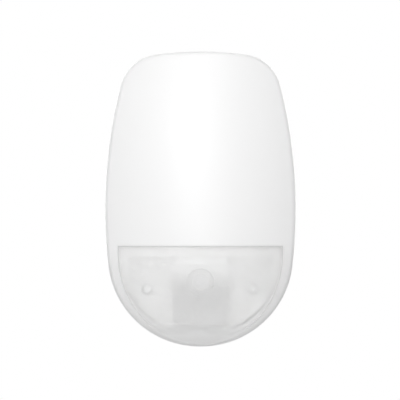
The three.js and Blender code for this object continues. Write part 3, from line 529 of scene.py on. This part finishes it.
lens.data.vertices.foreach_get("co", places)
from_edge = [np.hypot(outer_edge[:, 0] - abs(x), outer_edge[:, 1] - z).min()
             for x, _, z in places.reshape(-1, 3) / mm]
lens.data.attributes.new("from_edge", "FLOAT", "POINT").data.foreach_set("value", from_edge)

# The sheet scatters most light. It lets less through at its edge, as painted light over the shadow that the
# cover's edge casts behind it, and less at its foot. It lets a little more through at its right, as painted
# shade on that side.
# Lamps also light what lies behind it. Fine rings stand out round the sensor: radius, half width, height.
milky_z = -47.5
clear_z = -43
right_painted_shade_from = 14
right_painted_shade_to = 28
edge_painted_light_width = 0.8
ring_span = 8
ring_level = 0.5
seen_rings = [(1.45, 0.25, 0.62), (2.9, 0.3, 0.66), (4.7, 0.3, 0.72), (6.2, 0.25, 0.6)]
lens_plastic, shader = finish_of("lens_frosted", (0.99, 0.99, 0.99), 0.03)
tree = shader.id_data
place = add_grain(shader, 5000, 0.02)
grain_normal = shader.inputs["Normal"].links[0].from_socket
flat = new_node(tree, "Mapping", {"Vector": place, "Location": (0, 0, -sensor_z * mm), "Scale": (1, 0, 1)})
reach = new_node(tree, "VectorMath", {0: flat.outputs["Vector"]}, operation="LENGTH")
rings = new_node(tree, "FloatCurve", {"Value": worked_out("DIVIDE", reach.outputs["Value"], ring_span * mm)})
curve = rings.mapping.curves[0]
curve.points[0].location = (0, ring_level)
curve.points[1].location = (1, ring_level)
for radius, half, height in seen_rings:
    for aside, level in ((-half, ring_level), (0, height), (half, ring_level)):
        curve.points.new((radius + aside) / ring_span, level)
for point in curve.points:
    point.handle_type = "VECTOR"
rings.mapping.update()
prism = new_node(tree, "Bump", {"Strength": 1, "Distance": 0.1 * mm, "Height": rings.outputs["Value"],
                                "Normal": grain_normal})
apart = new_node(tree, "SeparateXYZ", {"Vector": place}).outputs
measured = new_node(tree, "Attribute", {}, attribute_name="from_edge").outputs["Fac"]
milk = spread_over(apart["Z"], milky_z * mm, clear_z * mm, 0.14, 0.53)
# Less light through near the window's edge: painted light over the shadow of the cover's edge.
edge_painted_light = spread_over(measured, 0, edge_painted_light_width, 0.55, 1)
# More light through towards the right: painted shade on that side of the sheet.
right_painted_shade = spread_over(apart["X"], right_painted_shade_from * mm, right_painted_shade_to * mm, 1, 1.1)
shadow = new_node(tree, "LightPath", {}).outputs["Is Shadow Ray"]
feed(shader, {
    "IOR": 1.2,
    "Specular IOR Level": 0.15,
    "Normal": prism.outputs["Normal"],
    "Transmission Weight": worked_out("MULTIPLY", worked_out("MULTIPLY", milk, edge_painted_light), right_painted_shade),
    "Alpha": spread_over(shadow, 0, 1, 1, 0),
})
finish(lens, lens_plastic, "fresnel_lens", "cover")

# Lens retainer: a moulded plastic frame, clipped behind the lens flange along its top and down its sides. Its
# mid grey is painted shade for the room behind the lens's edge. Only its thin arms show through the lens.
# Mid grey base colour: painted shade where the frame shows through the lens.
painted_shade_grey = plain_finish("retainer_painted_shade", (0.45, 0.45, 0.44), 0.45, (6000, 0.01), (0.4, 0.5, 120))
put_on(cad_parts["lens_retainer"], painted_shade_grey)

# Cover screw: a small zinc plated slotted screw in the boss at the foot of the cover. It is turned and its
# thread is rolled; it stays in the boss when the cover is open.
screw_root_radius = screw_shank_radius - 0.25
screw_tip_z = -45.8


def turned(name, profile, axis, centre, sides=48):
    """Round piece over pairs of radius and place along its axis: "out" from the wall, "up" or "across"."""
    turn = np.linspace(0, 2 * math.pi, sides + 1)
    rows = []
    for radius, along in profile:
        parts = [centre[0] + radius * np.cos(turn), centre[1] + radius * np.sin(turn)]
        parts.insert({"across": 0, "out": 1, "up": 2}[axis], np.full(sides + 1, along))
        rows.append(np.stack(parts, axis=1))
    return sew(name, np.array(rows))


def rolled_thread(root, crest, start, end, pitch):
    """Profile of thread rings between two places."""
    profile = []
    for index in range(int((end - start) / pitch)):
        along = start + index * pitch
        profile += [(root, along), (root, along + 0.3 * pitch), (crest, along + 0.6 * pitch),
                    (root, along + 0.9 * pitch)]
    return profile + [(root, end)]


steel = plain_finish("plated_steel", (0.72, 0.73, 0.73), 0.3, (8000, 0.01), (0.22, 0.4, 900), 1.0)
low = screw_head_bottom
high = low + screw_head_height
profile = [(0, low), (1.55, low), (1.8, low + 0.12), (screw_head_radius, low + 0.4),
           (screw_head_radius, high - 0.15), (1.75, high), (screw_root_radius, high)]
profile += rolled_thread(screw_root_radius, screw_shank_radius, high + 0.3, screw_tip_z - 0.4, 0.5)
profile += [(0.5, screw_tip_z - 0.05), (0, screw_tip_z)]
screw = turned("cover_screw_part", profile, "up", (0, screw_axis_depth))
cut(screw, block("slot", -3, 3, screw_axis_depth - 0.35, screw_axis_depth + 0.35, low - 1, low + 0.7))
finish(smooth(screw), steel, "cover_screw", "cover_screw")

# Rear housing: the tray that goes on the wall. Injection moulded white ABS, with a lip that the cover slips
# over, 45 degree faces for a room's corner, posts for the board, two hooks and a lug for the cover screw.
housing_draft = 1.2
back_round = 1.6
housing_floor = 2.2
housing_wall = 2.4
facet_x = 24
facet_reach = 30
lip_inset = cover_wall + gap
lip_front = seam_depth + 2.5
cavity_inset = housing_draft + housing_wall
board_screws = [(-18.5, 32.035), (18.5, 32.035), (-18.5, -31.52), (18.5, -31.52)]
lower_slot_x = 0.332 * half_width
lower_slot_z = -0.767 * half_height
top_slot_z = 0.796 * half_height
wall_slots = [(0, top_slot_z, 8), (-lower_slot_x, lower_slot_z, 7), (lower_slot_x, lower_slot_z, 7)]
wall_slot_half = 2.6
ejector_marks = [(-14, 24), (14, 24), (-14, -20), (14, -20)]
wall_tamper_x = 9
wall_tamper_z = 16
root_depth = 1.5
post_foot_radius = 3.4
post_radius = 2.6
post_front = 13.1
lug_half = 3.8
middle = np.zeros((len(around), 2))


def pad(name, x, z, half_x, half_z, depth0, depth1):
    """Block over a middle and two half sizes."""
    return block(name, x - half_x, x + half_x, depth0, depth1, z - half_z, z + half_z)


def rod(name, x, z, depth0, depth1, radius, sides=48):
    clear_selection()
    bpy.ops.mesh.primitive_cylinder_add(
        vertices=sides, radius=radius * mm, depth=(depth1 - depth0) * mm,
        location=(x * mm, -(depth0 + depth1) / 2 * mm, z * mm), rotation=(math.pi / 2, 0, 0))
    return settle(bpy.context.object, name)


def soften(piece, width, segments=2, angle=35):
    """Rounds a piece's sharp edges."""
    pick(piece)
    rounding = piece.modifiers.new("rounding", "BEVEL")
    rounding.width = width * mm
    rounding.segments = segments
    rounding.limit_method = "ANGLE"
    rounding.angle_limit = math.radians(angle)
    bpy.ops.object.modifier_apply(modifier="rounding")
    return piece


def facet_tools(inward):
    """Two blocks that cut along the 45 degree faces, moved inwards by a wall."""
    tools = []
    off = (facet_reach / 2 - inward) / math.sqrt(2)
    for side in (-1, 1):
        clear_selection()
        bpy.ops.mesh.primitive_cube_add(
            size=1, location=(side * (facet_x + off) * mm, off * mm, 0), rotation=(0, 0, side * math.pi / 4),
            scale=(facet_reach * mm, 4 * facet_reach * mm, 4 * facet_reach * mm))
        tools.append(settle(bpy.context.object, "facet_tool"))
    return tools


rows = [row(middle, 0)]
for turn in np.linspace(0, math.pi / 2, 7):
    points = outline_points(around, housing_draft + back_round * (1 - math.sin(turn)))
    rows.append(row(points, back_round * (1 - math.cos(turn))))
for inset, depth in ((0.02, seam_depth - 0.2), (0.2, seam_depth), (lip_inset, seam_depth),
                     (lip_inset, lip_front - 0.25), (lip_inset + 0.25, lip_front)):
    rows.append(row(outline_points(around, inset), depth))
tray = lay_skin("rear_housing_shell", rows + [row(middle, lip_front)])
cut(tray, *facet_tools(0))
rows = [row(middle, housing_floor)]
for inset, depth in ((cavity_inset + 0.5, housing_floor), (cavity_inset + 0.15, housing_floor + 0.15),
                     (cavity_inset, housing_floor + 0.5), (cavity_inset, lip_front + 1)):
    rows.append(row(outline_points(around, inset), depth))
hollow = lay_skin("hollow", rows + [row(middle, lip_front + 1)])
cut(hollow, *facet_tools(housing_wall))
cut(tray, hollow, block("notch", -lug_half - 0.1, lug_half + 0.1, seam_depth, lip_front + 1,
                        -half_height - 1, -half_height + 4.6))
added = []
for x, z in board_screws:
    profile = [(0, root_depth), (post_foot_radius, root_depth), (post_foot_radius, housing_floor + 0.01),
               (2.9, housing_floor + 0.3), (post_radius, housing_floor + 0.9),
               (post_radius, post_front - 0.25), (post_radius - 0.25, post_front), (0, post_front)]
    added += [turned("post", profile, "out", (x, z), 40), pad("post_rib", x, z, 0.5, 4.2, root_depth, 10.5)]
lug = block("lug", -lug_half, lug_half, root_depth, screw_axis_depth + screw_boss_radius, -44.8, -41.5)
added += [soften(lug, 0.35), block("lug_rib", -0.7, 0.7, root_depth, 14, -42, -36)]
for x in hook_places:
    sides = (x - hook_half, x + hook_half)
    added.append(block("tongue", *sides, seam_depth, seam_depth + 4.2, hook_top - hook_thickness, hook_top))
    nib = block("nib", *sides, seam_depth + 2.7, seam_depth + 4.2, hook_top - hook_thickness, hook_top + 1.3)
    added.append(soften(nib, 0.3))
join(tray, *added)
removed = [rod("bore", x, z, housing_floor + 2, 14, 1.15, 32) for x, z in board_screws]
removed.append(upright_rod("lug_bore", 0, screw_axis_depth, -46, -40, 1.3, 32))
removed.append(rod("tamper_hole", wall_tamper_x, wall_tamper_z, -2, 4, 1.9, 32))
for x, z, length in wall_slots:
    slot = pad("wall_slot", x, z, wall_slot_half, length / 2, -2, housing_floor + 2)
    removed.append(soften(slot, 0.87, 5))
removed += [rod("ejector_mark", x, z, -1, 0.15, 2.2, 32) for x, z in ejector_marks]
cut(tray, *removed)
finish(smooth(tray), case_plastic, "rear_housing")

# Main board: green solder mask on 1.6 mm glass laminate, routed to its outline and drilled, with plated rings
# at its four screws and traces under the mask.
board_back = 13.4
board_front = 15
board_top = 35.53
board_bottom = -35.02
board_half_width = 22
board_corner = 3
board_middle_z = 0.26
board_green = (0.012, 0.11, 0.05)
ring_place = (18.5 * mm, 31.78 * mm, 0)
ring_radius = 2.6
board_vias = [(-3, -13.6), (2.4, -13.6), (-9, 5.6), (14, 5.6), (20, -14), (-20.5, 5.8), (20, 6.4)]


def select_where(piece, kind, test):
    """In edit mode, selects only the vertices or edges whose middle passes a test in millimetres."""
    bpy.ops.mesh.select_mode(type={"verts": "VERT", "edges": "EDGE"}[kind])
    bpy.ops.mesh.select_all(action="DESELECT")
    shape = bmesh.from_edit_mesh(piece.data)
    for part in getattr(shape, kind):
        spots = [part.co] if kind == "verts" else [corner.co for corner in part.verts]
        x, y, z = (sum(spot[axis] for spot in spots) / len(spots) / mm for axis in range(3))
        if test(x, -y, z):
            part.select_set(True)
    bmesh.update_edit_mesh(piece.data)


def bevel_edges(piece, test, width, segments):
    """Rounds or chamfers the edges that pass a test."""
    pick(piece)
    bpy.ops.object.mode_set(mode="EDIT")
    select_where(piece, "edges", test)
    bpy.ops.mesh.bevel(offset=width * mm, segments=segments)
    bpy.ops.object.mode_set(mode="OBJECT")


board = block("main_board_sheet", -board_half_width, board_half_width, board_back, board_front,
              board_bottom, board_top)
bevel_edges(board, lambda x, depth, z: abs(x) > board_half_width - 0.1 and abs(z - board_middle_z) > 35
            and 14 < depth < 14.5, board_corner, 8)
soften(board, 0.12, 1)
cut(board, *[rod("hole", x, z, 12, 16, 1.3, 32) for x, z in board_screws],
    *[rod("via", x, z, 12, 16, 0.35, 12) for x, z in board_vias])

board_material, shader = finish_of("board_green", board_green, 0.35)
tree = shader.id_data
apart = new_node(tree, "SeparateXYZ", {"Vector": add_grain(shader, 3000, 0.01)}).outputs
traces = new_node(tree, "TexBrick", {
    "Vector": new_node(tree, "CombineXYZ", {"X": apart["X"], "Y": apart["Z"]}).outputs["Vector"],
    "Scale": 1, "Brick Width": 9.3 * mm, "Row Height": 1.3 * mm, "Mortar Size": 0.16 * mm,
    "Color1": (*board_green, 1), "Color2": (0.014, 0.13, 0.058, 1), "Mortar": (0.03, 0.2, 0.09, 1)})
upward = worked_out("ABSOLUTE", worked_out("SUBTRACT", apart["Z"], board_middle_z * mm))
quarter = new_node(tree, "CombineXYZ", {"X": worked_out("ABSOLUTE", apart["X"]), "Y": upward})
away = new_node(tree, "VectorMath", {0: quarter.outputs["Vector"], 1: ring_place}, operation="DISTANCE")
ring = worked_out("LESS_THAN", away.outputs["Value"], ring_radius * mm)
paint = {"Factor": ring, "A": traces.outputs["Color"], "B": (0.6, 0.6, 0.58, 1)}
feed(shader, {"Base Color": new_node(tree, "Mix", paint, data_type="RGBA").outputs["Result"]})
finish(smooth(board), board_material, "main_board")

# Board screws: four plated thread forming screws with low round heads and a cross recess.
# They hold the board on the posts of the housing.
seat_depth = board_front + gap
head_front = seat_depth + 1.3


def twin(piece, name, dx, dz):
    """Copy with its own mesh, moved sideways and up."""
    other = piece.copy()
    other.data = piece.data.copy()
    other.name = name
    bpy.context.scene.collection.objects.link(other)
    spots = np.empty(len(other.data.vertices) * 3)
    other.data.vertices.foreach_get("co", spots)
    spots = spots.reshape(-1, 3) + np.array([dx * mm, 0, dz * mm])
    other.data.vertices.foreach_set("co", spots.ravel())
    return other


x, z = board_screws[0]
profile = [(0, 7.3), (0.35, 7.45)] + rolled_thread(0.68, 0.9, 7.9, seat_depth - 0.3, 0.55)
profile += [(0.9, seat_depth - 0.1), (0.9, seat_depth), (1.7, seat_depth), (1.9, seat_depth + 0.15),
            (1.88, seat_depth + 0.55), (1.6, head_front - 0.25), (1.05, head_front - 0.05), (0, head_front)]
first_screw = turned("board_screw_a", profile, "out", (x, z), 40)
cut(first_screw, pad("level", x, z, 1.2, 0.25, head_front - 0.7, head_front + 1),
    pad("upright", x, z, 0.25, 1.2, head_front - 0.7, head_front + 1))
smooth(first_screw)
for index, (screw_x, screw_z) in enumerate(board_screws):
    screw = first_screw
    if index:
        screw = twin(first_screw, "board_screw_" + "abcd"[index], screw_x - x, screw_z - z)
    finish(screw, steel, f"board_screw_{index + 1}")

# Heat sensor: a black seat on the board, a drawn nickel can with a flange, a dark filter window let into its
# front, and a ring cut from foam that keeps insects and draughts out.
can_back = seat_depth + 2.6
can_neck = can_back + 0.6
can_front = can_back + 4.8
foam_back = 17.9
foam_front = 19.8
black = plain_finish("black_plastic", (0.018, 0.018, 0.02), 0.42, (5000, 0.02), (0.36, 0.5, 400))
profile = [(0, seat_depth), (4.7, seat_depth), (5, seat_depth + 0.3), (5, 17.3), (4.7, 17.6), (4.1, 17.6),
           (3.9, 17.4), (0, 17.4)]
seat = turned("sensor_seat_disc", profile, "out", (0, sensor_z))
finish(smooth(seat), black, "sensor_seat")

drawn_nickel = plain_finish("drawn_nickel", (0.42, 0.42, 0.41), 0.5, (3500, 0.006), (0.44, 0.56, 500), 1.0)
profile = [(0, can_back), (4.5, can_back), (4.6, can_back + 0.1), (4.6, can_back + 0.5), (4.5, can_neck),
           (4.25, can_neck), (4.15, can_back + 0.8), (4.15, can_front - 0.6), (4.07, can_front - 0.3),
           (3.85, can_front - 0.08), (3.55, can_front), (0, can_front)]
can = turned("sensor_can_shell", profile, "out", (0, sensor_z), 64)
cut(can, pad("pocket", 0, sensor_z, 2.4, 2, can_front - 0.9, can_front + 1))
finish(smooth(can), drawn_nickel, "sensor_can")

window_glass = plain_finish("dark_window", (0.3, 0.3, 0.32), 0.15, (2000, 0.003), (0.08, 0.16, 500), 0.6)
window = soften(pad("sensor_window_pane", 0, sensor_z, 2.1, 1.7, can_front - 0.6, can_front - 0.1), 0.08)
finish(window, window_glass, "sensor_window")

foam_material, shader = finish_of("grey_foam", (0.09, 0.095, 0.1), 0.95)
place = new_node(shader.id_data, "TexCoord", {}).outputs["Object"]
cells = new_node(shader.id_data, "TexVoronoi", {"Vector": place, "Scale": 2600})
bump = {"Strength": 0.6, "Distance": 0.1 * mm, "Height": cells.outputs["Distance"]}
feed(shader, {"Normal": new_node(shader.id_data, "Bump", bump).outputs["Normal"]})
profile = [(4.9, foam_back + 0.2), (5.1, foam_back), (6.2, foam_back), (6.4, foam_back + 0.2),
           (6.4, foam_front - 0.2), (6.2, foam_front), (5.1, foam_front), (4.9, foam_front - 0.2),
           (4.9, foam_back + 0.2)]
foam = turned("sensor_gasket_ring", profile, "out", (0, sensor_z), 64)
finish(smooth(foam, 40), foam_material, "sensor_gasket")

# Shroud: a moulded white ABS hood on the board round the heat sensor. Its front leans back below a ridge, its
# top edge has a broad chamfer, and a round funnel opens from the sensor towards the lens.
guide_high = -17.4
guide_low = guide_high - 2.9
shroud_top = guide_low - gap
shroud_bottom = -0.8544 * half_height
shroud_ridge = -0.5942 * half_height
shroud_top_half = 10.2
shroud_bottom_half = 9
shroud_back = seat_depth
shroud_front = 30
shroud_foot = 24.8
shroud_low = shroud_bottom + 0.1
funnel_front_radius = 4.8
funnel_radius = 4.45
hood = block("shroud", -shroud_top_half, shroud_top_half, shroud_back, shroud_front,
             shroud_bottom, shroud_top)
bpy.ops.object.mode_set(mode="EDIT")
bpy.ops.mesh.select_all(action="SELECT")
bpy.ops.mesh.bisect(plane_co=(0, 0, shroud_ridge * mm), plane_no=(0, 0, 1))
select_where(hood, "verts", lambda x, depth, z: z < shroud_low)
bpy.ops.transform.resize(value=(shroud_bottom_half / shroud_top_half, 1, 1))
select_where(hood, "verts", lambda x, depth, z: z < shroud_low and depth > shroud_front - 1)
bpy.ops.transform.translate(value=(0, (shroud_front - shroud_foot) * mm, 0))
bpy.ops.object.mode_set(mode="OBJECT")
bevel_edges(hood, lambda x, depth, z: z < shroud_low and abs(x) > 5, 3.6, 8)
bevel_edges(hood, lambda x, depth, z: z > shroud_top - 0.1 and depth > shroud_front - 0.1, 1.8, 1)
soften(hood, 0.5, 3)
clear_selection()
bpy.ops.mesh.primitive_cone_add(
    vertices=64, radius1=funnel_front_radius * mm, radius2=funnel_radius * mm, depth=8.7 * mm,
    location=(0, -25.65 * mm, sensor_z * mm), rotation=(-math.pi / 2, 0, 0))
cut(hood, settle(bpy.context.object, "funnel"),
    rod("throat", 0, sensor_z, shroud_back - 1, shroud_front, funnel_radius, 64),
    rod("nest", 0, sensor_z, shroud_back - 1, 20.1, 6.7, 64),
    block("lug_room", -12, 12, shroud_back - 1, 23.6, shroud_bottom - 1, -41.2))

# Its plastic carries painted shade by height: white at the top, dark grey down to the ridge, where its front
# leans away from the lamps, and paler again at the foot.
shroud_plastic_painted_shade, shader = finish_of("shroud_white_painted_shade", (0.92, 0.92, 0.92), 0.5)
place = add_grain(shader, 6000, 0.01)
uneven_gloss(shader, place, 0.45, 0.56, 120)
apart = new_node(shader.id_data, "SeparateXYZ", {"Vector": place}).outputs
rise = spread_over(apart["Z"], shroud_bottom * mm, shroud_top * mm, 0, 1)
painted_shade_tone = new_node(shader.id_data, "ValToRGB", {"Fac": rise})
stops = painted_shade_tone.color_ramp.elements
ridge = (shroud_ridge - shroud_bottom) / (shroud_top - shroud_bottom)
# The grey stops of this ramp are painted shade, darkest just above the ridge.
for share, grey in ((0.15, 0.6), (0.33, 0.22), (ridge - 0.01, 0.08), (ridge + 0.01, 0.1), (0.75, 0.38),
                    (0.85, 0.85)):
    stops.new(share).color = (grey, grey, grey, 1)
stops[0].color = (0.8, 0.8, 0.8, 1)
stops[-1].color = (0.95, 0.95, 0.95, 1)
feed(shader, {"Base Color": painted_shade_tone.outputs["Color"]})
finish(smooth(hood, 35), shroud_plastic_painted_shade, "sensor_shroud")

# Chamber plate: a thin sheet of matt white ABS, moulded flat. It stands in front of the board and closes the
# room behind the lens.
inside_plastic = plain_finish("inner_white", (0.93, 0.93, 0.92), 0.5, (6000, 0.01), (0.45, 0.56, 120))
put_on(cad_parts["chamber_plate"], inside_plastic)

# Status lamp and light guide: a small surface lamp soldered to the board, and a moulded bar of clear
# polycarbonate that brings its light up behind the lens and ends in a lip above the shroud.
guide_front = case_depth - 8.5
guide_half = 7.3
collar_half = 8.3
lamp_z = (guide_high + guide_low) / 2
lamp_plastic = plain_finish("lamp", (0.85, 0.8, 0.62), 0.25, (4000, 0.01), (0.2, 0.32, 900))
lamp = soften(pad("status_lamp_body", 0, lamp_z, 1.6, 0.8, seat_depth, 16.5), 0.15)
finish(lamp, lamp_plastic, "status_lamp")

guide_plastic, shader = finish_of("guide_clear", (0.96, 0.97, 0.97), 0.2)
feed(shader, {"Transmission Weight": 0.15, "IOR": 1.5})
add_grain(shader, 3000, 0.01)
bar = block("light_guide_bar", -guide_half, guide_half, seat_depth, guide_front, guide_low, guide_high)
cut(bar, block("step", 5, 8, guide_front - 4, guide_front + 1, guide_low - 1, guide_high + 1))
join(bar, block("lip", -8.6, 8.9, guide_front - 2.2, guide_front, guide_low - 2.2, guide_low + 0.1))
soften(bar, 0.3, 3)
join(bar, soften(block("collar", -collar_half, collar_half, 18.4, 19.2, guide_low, guide_high), 0.15))
cut(bar, pad("lamp_room", 0, lamp_z, 1.9, 1.1, 15, 16.8))
finish(smooth(bar, 35), guide_plastic, "light_guide")

# Battery, its holder and contacts: a 17 by 34.5 mm steel cell in a dark shrink sleeve lies from side to side
# in a black moulded cradle, between two contacts bent from spring brass.
cell_z = 17.77
cell_depth = 25.3
cell_half = 17.25
cell_room_radius = 8.8
cell_room_half = 18.95
holder_half = 10
holder_half_length = 20.95
holder_front = 25.8
sleeve_end = 15.2
sleeve_start = -17.1
cradle = pad("battery_cradle", 0, cell_z, holder_half_length, holder_half, seat_depth, holder_front)
profile = [(0, -cell_room_half), (cell_room_radius, -cell_room_half), (cell_room_radius, cell_room_half),
           (0, cell_room_half)]
cut(cradle, turned("bed", profile, "across", (cell_depth, cell_z), 72),
    pad("mouth", 0, cell_z, cell_room_half, cell_room_radius, cell_depth, 35))
cut(cradle, soften(pad("finger", 0, cell_z, 6, 12, 21.5, 30), 2, 5))
finish(smooth(soften(cradle, 0.35, 2, 50)), black, "battery_holder")

sleeve = (0.04, 0.055, 0.075)
sleeve_material, shader = finish_of("cell_wrap", sleeve, 0.32)
tree = shader.id_data
place = add_grain(shader, 900, 0.03)
uneven_gloss(shader, place, 0.26, 0.4, 250)
along = new_node(tree, "SeparateXYZ", {"Vector": place}).outputs["X"]
bare = worked_out("ADD", worked_out("GREATER_THAN", along, sleeve_end * mm),
                  worked_out("LESS_THAN", along, sleeve_start * mm))
paint = {"Factor": bare, "A": (*sleeve, 1), "B": (0.7, 0.7, 0.7, 1)}
feed(shader, {"Base Color": new_node(tree, "Mix", paint, data_type="RGBA").outputs["Result"],
              "Metallic": bare})
profile = [(0, -cell_half), (7.2, -cell_half), (8.1, -cell_half + 0.1), (8.5, -cell_half + 0.7), (8.5, 14.6),
           (8.3, 14.75), (8.3, 15.1), (8.5, 15.3), (8.45, 15.7), (8.1, 15.95), (7.4, 16.05), (6.8, 15.95),
           (3.4, 15.95), (3.2, 16.15), (3.2, cell_half - 0.35), (2.9, cell_half), (0, cell_half)]
cell = smooth(turned("battery_can", profile, "across", (cell_depth, cell_z), 72), 35)
finish(cell, sleeve_material, "battery_cell")
brass = plain_finish("spring_brass", (0.76, 0.6, 0.32), 0.3, (7000, 0.01), (0.24, 0.42, 700), 1.0)
put_on(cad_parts["battery_contact_positive"], brass)
put_on(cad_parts["battery_contact_negative"], brass)

# Controller chip: a black moulded package with a round pin mark in one corner, and seven tinned gull wing
# leads on each side that are soldered to the board.
chip_x = -2.99
chip_z = -8.34
lead_pitch = 1
chip = pad("chip_package", chip_x, chip_z, 2.4, 3.5, seat_depth + 0.1, seat_depth + 1)
cut(chip, rod("pin_mark", chip_x - 1.5, chip_z + 2.6, seat_depth + 0.9, seat_depth + 2, 0.45, 24))
finish(smooth(soften(chip, 0.12)), black, "controller_chip")

leads = []
for side in (-1, 1):
    for step in range(7):
        z = chip_z + (step - 3) * lead_pitch
        for name, reach, back, front in (("lead", 3.5, 0.01, 0.2), ("knee", 2.85, 0.1, 0.55)):
            ends = sorted((chip_x + side * 2.3, chip_x + side * reach))
            leads.append(block(name, *ends, seat_depth + back, seat_depth + front, z - 0.2, z + 0.2))
clear_selection()
for lead in leads:
    lead.select_set(True)
bpy.context.view_layer.objects.active = leads[0]
bpy.ops.object.join()
chip_leads = soften(leads[0], 0.05, 1)
chip_leads.name = "chip_leads"
put_on(chip_leads, steel)
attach(chip_leads, "housing")

# Radio shield: a lid folded from tin plated steel and soldered over the radio, with rounded corners and a
# field of small punched holes.
radio_x = 11
radio_z = -8.34
radio_half_x = 6
radio_half_z = 5
lid = pad("radio_lid", radio_x, radio_z, radio_half_x, radio_half_z, seat_depth, seat_depth + 2.4)
bevel_edges(lid, lambda x, depth, z: abs(x - radio_x) > radio_half_x - 0.1
            and abs(z - radio_z) > radio_half_z - 0.1, 0.8, 5)
soften(lid, 0.25, 3)
for column in (-2, -1, 0, 1, 2):
    for line in (-1, 0, 1):
        cut(lid, rod("hole", radio_x + column * 1.7, radio_z + line * 2, seat_depth + 2, 19, 0.45, 16))
finish(smooth(lid), steel, "radio_shield")

# Capacitor: a drawn aluminium can soldered to the board, with a rolled neck and a scored top that gives way
# safely.
capacitor_x = 5.5
capacitor_z = 2.02
capacitor_top = seat_depth + 5.5
profile = [(0, seat_depth), (2.4, seat_depth), (2.5, seat_depth + 0.1), (2.5, seat_depth + 0.7),
           (2.3, seat_depth + 0.85), (2.3, seat_depth + 1), (2.5, seat_depth + 1.2),
           (2.5, capacitor_top - 0.5), (2.35, capacitor_top - 0.15), (2.1, capacitor_top), (0, capacitor_top)]
can = turned("capacitor_can", profile, "out", (capacitor_x, capacitor_z))
cut(can, pad("score", capacitor_x, capacitor_z, 1.6, 0.1, capacitor_top - 0.1, capacitor_top + 1),
    block("score", capacitor_x - 0.1, capacitor_x + 0.1, capacitor_top - 0.1, capacitor_top + 1, 0.4, 3.6))
finish(smooth(can), steel, "capacitor")

# Antenna: a bare brass wire, bent and soldered. It stands up from the board, runs across it and turns up
# beside the chip.
put_on(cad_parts["antenna_wire"], brass)

# Setting switches: a blue moulded body with three slots, soldered to the board, and a small white slider in
# each slot.
dip_x = -14.5
dip_z = 2.02
dip_front = 17.9
dip_pitch = 2.54
slider_back = 16.5
slider_front = 18.3
blue = plain_finish("blue_plastic", (0.02, 0.09, 0.36), 0.35, (5000, 0.02), (0.3, 0.42, 500))
body = soften(pad("setting_switch_body", dip_x, dip_z, 4.7, 3, seat_depth, dip_front), 0.25, 3)
for x in (dip_x - dip_pitch, dip_x, dip_x + dip_pitch):
    cut(body, pad("slot", x, dip_z, 0.75, 1.6, dip_front - 1.6, dip_front + 1))
finish(smooth(body), blue, "dip_switch_body")

x = dip_x - dip_pitch
first_slider = block("setting_slider_a", x - 0.55, x + 0.55, slider_back, slider_front,
                     dip_z - 1.4, dip_z - 0.1)
grip = block("grip", x - 1, x + 1, slider_front - 0.15, slider_front + 0.7, 1.2, 1.34)
smooth(cut(soften(first_slider, 0.12), grip))
for index in range(3):
    slider = first_slider
    if index:
        slider = twin(first_slider, "setting_slider_" + "abc"[index], index * dip_pitch, 0)
    finish(slider, inside_plastic, f"dip_slider_{index + 1}", f"dip_slider_{index + 1}")

# Pairing switch: a square tactile switch, moulded in black with a lid on four rivets, and its round white
# button.
pair_x = -15.5
pair_z = -8.34
pair_front = seat_depth + 3.4
body = soften(pad("pairing_switch_body", pair_x, pair_z, 3, 3, seat_depth, pair_front - 0.15), 0.3, 3)
join(body, soften(pad("lid", pair_x, pair_z, 2.8, 2.8, pair_front - 0.4, pair_front), 0.12))
cut(body, rod("well", pair_x, pair_z, pair_front - 1.7, pair_front + 1, 1.9, 40))
for x in (pair_x - 2.2, pair_x + 2.2):
    for z in (pair_z - 2.2, pair_z + 2.2):
        cut(body, rod("rivet_rim", x, z, pair_front - 0.12, pair_front + 1, 0.38, 20))
finish(smooth(body), black, "pair_switch_body")
profile = [(0, 17.5), (1.6, 17.5), (1.7, 17.6), (1.7, 19.45), (1.62, 19.62), (1.45, 19.7), (1.1, 19.7),
           (0.9, 19.6), (0, 19.55)]
button = smooth(turned("pairing_button", profile, "out", (pair_x, pair_z), 40))
finish(button, inside_plastic, "pair_button", "pair_button")

# Cover tamper switch: a black moulded body on the board and a long white plunger that the cover's shelf holds
# down. The plunger rises when the cover opens.
tamper_back = 16.5
tamper_tip = shelf_back - gap


def switch_body(name, x, z, back, front, half, well_radius, well_from, well_to):
    """Square body with rounded edges, a clip notch on each side and a round well."""
    body = soften(pad(name, x, z, half, half, back, front), 0.3, 3)
    for side in (-1, 1):
        cut(body, pad("clip", x + side * half, z, 0.2, 1.5, back + 1, front - 1))
    return smooth(cut(body, rod("well", x, z, well_from, well_to, well_radius, 40)))


def plunger(name, x, z, back, tip, radius):
    """Plunger with a domed tip; back and tip are depths, whichever way it points."""
    way = 1 if tip > back else -1
    profile = [(0, back), (radius - 0.1, back), (radius, back + 0.1 * way), (radius, tip - 0.5 * way),
               (radius * 0.9, tip - 0.2 * way), (radius * 0.65, tip - 0.05 * way), (radius * 0.3, tip),
               (0, tip)]
    return smooth(turned(name, profile, "out", (x, z), 40), 40)


finish(switch_body("cover_tamper_body", tamper_x, tamper_z, seat_depth, 19.5, 3, 1.5, 16.3, 21),
       black, "tamper_switch_body")
finish(plunger("cover_tamper_plunger", tamper_x, tamper_z, tamper_back, tamper_tip, 1.3),
       inside_plastic, "tamper_plunger", "tamper_plunger")

# Wall tamper switch: the same kind of black moulded switch on the back of the board. Its white plunger
# reaches through the tray, and the wall holds it in.
finish(switch_body("wall_tamper_case", wall_tamper_x, wall_tamper_z, 9.1, 13.1, 3.1, 1.8, 8, 11.3),
       black, "wall_tamper_body")
finish(plunger("wall_tamper_pin", wall_tamper_x, wall_tamper_z, 11.1, 0.1, 1.6),
       inside_plastic, "wall_tamper_plunger", "wall_tamper_plunger")
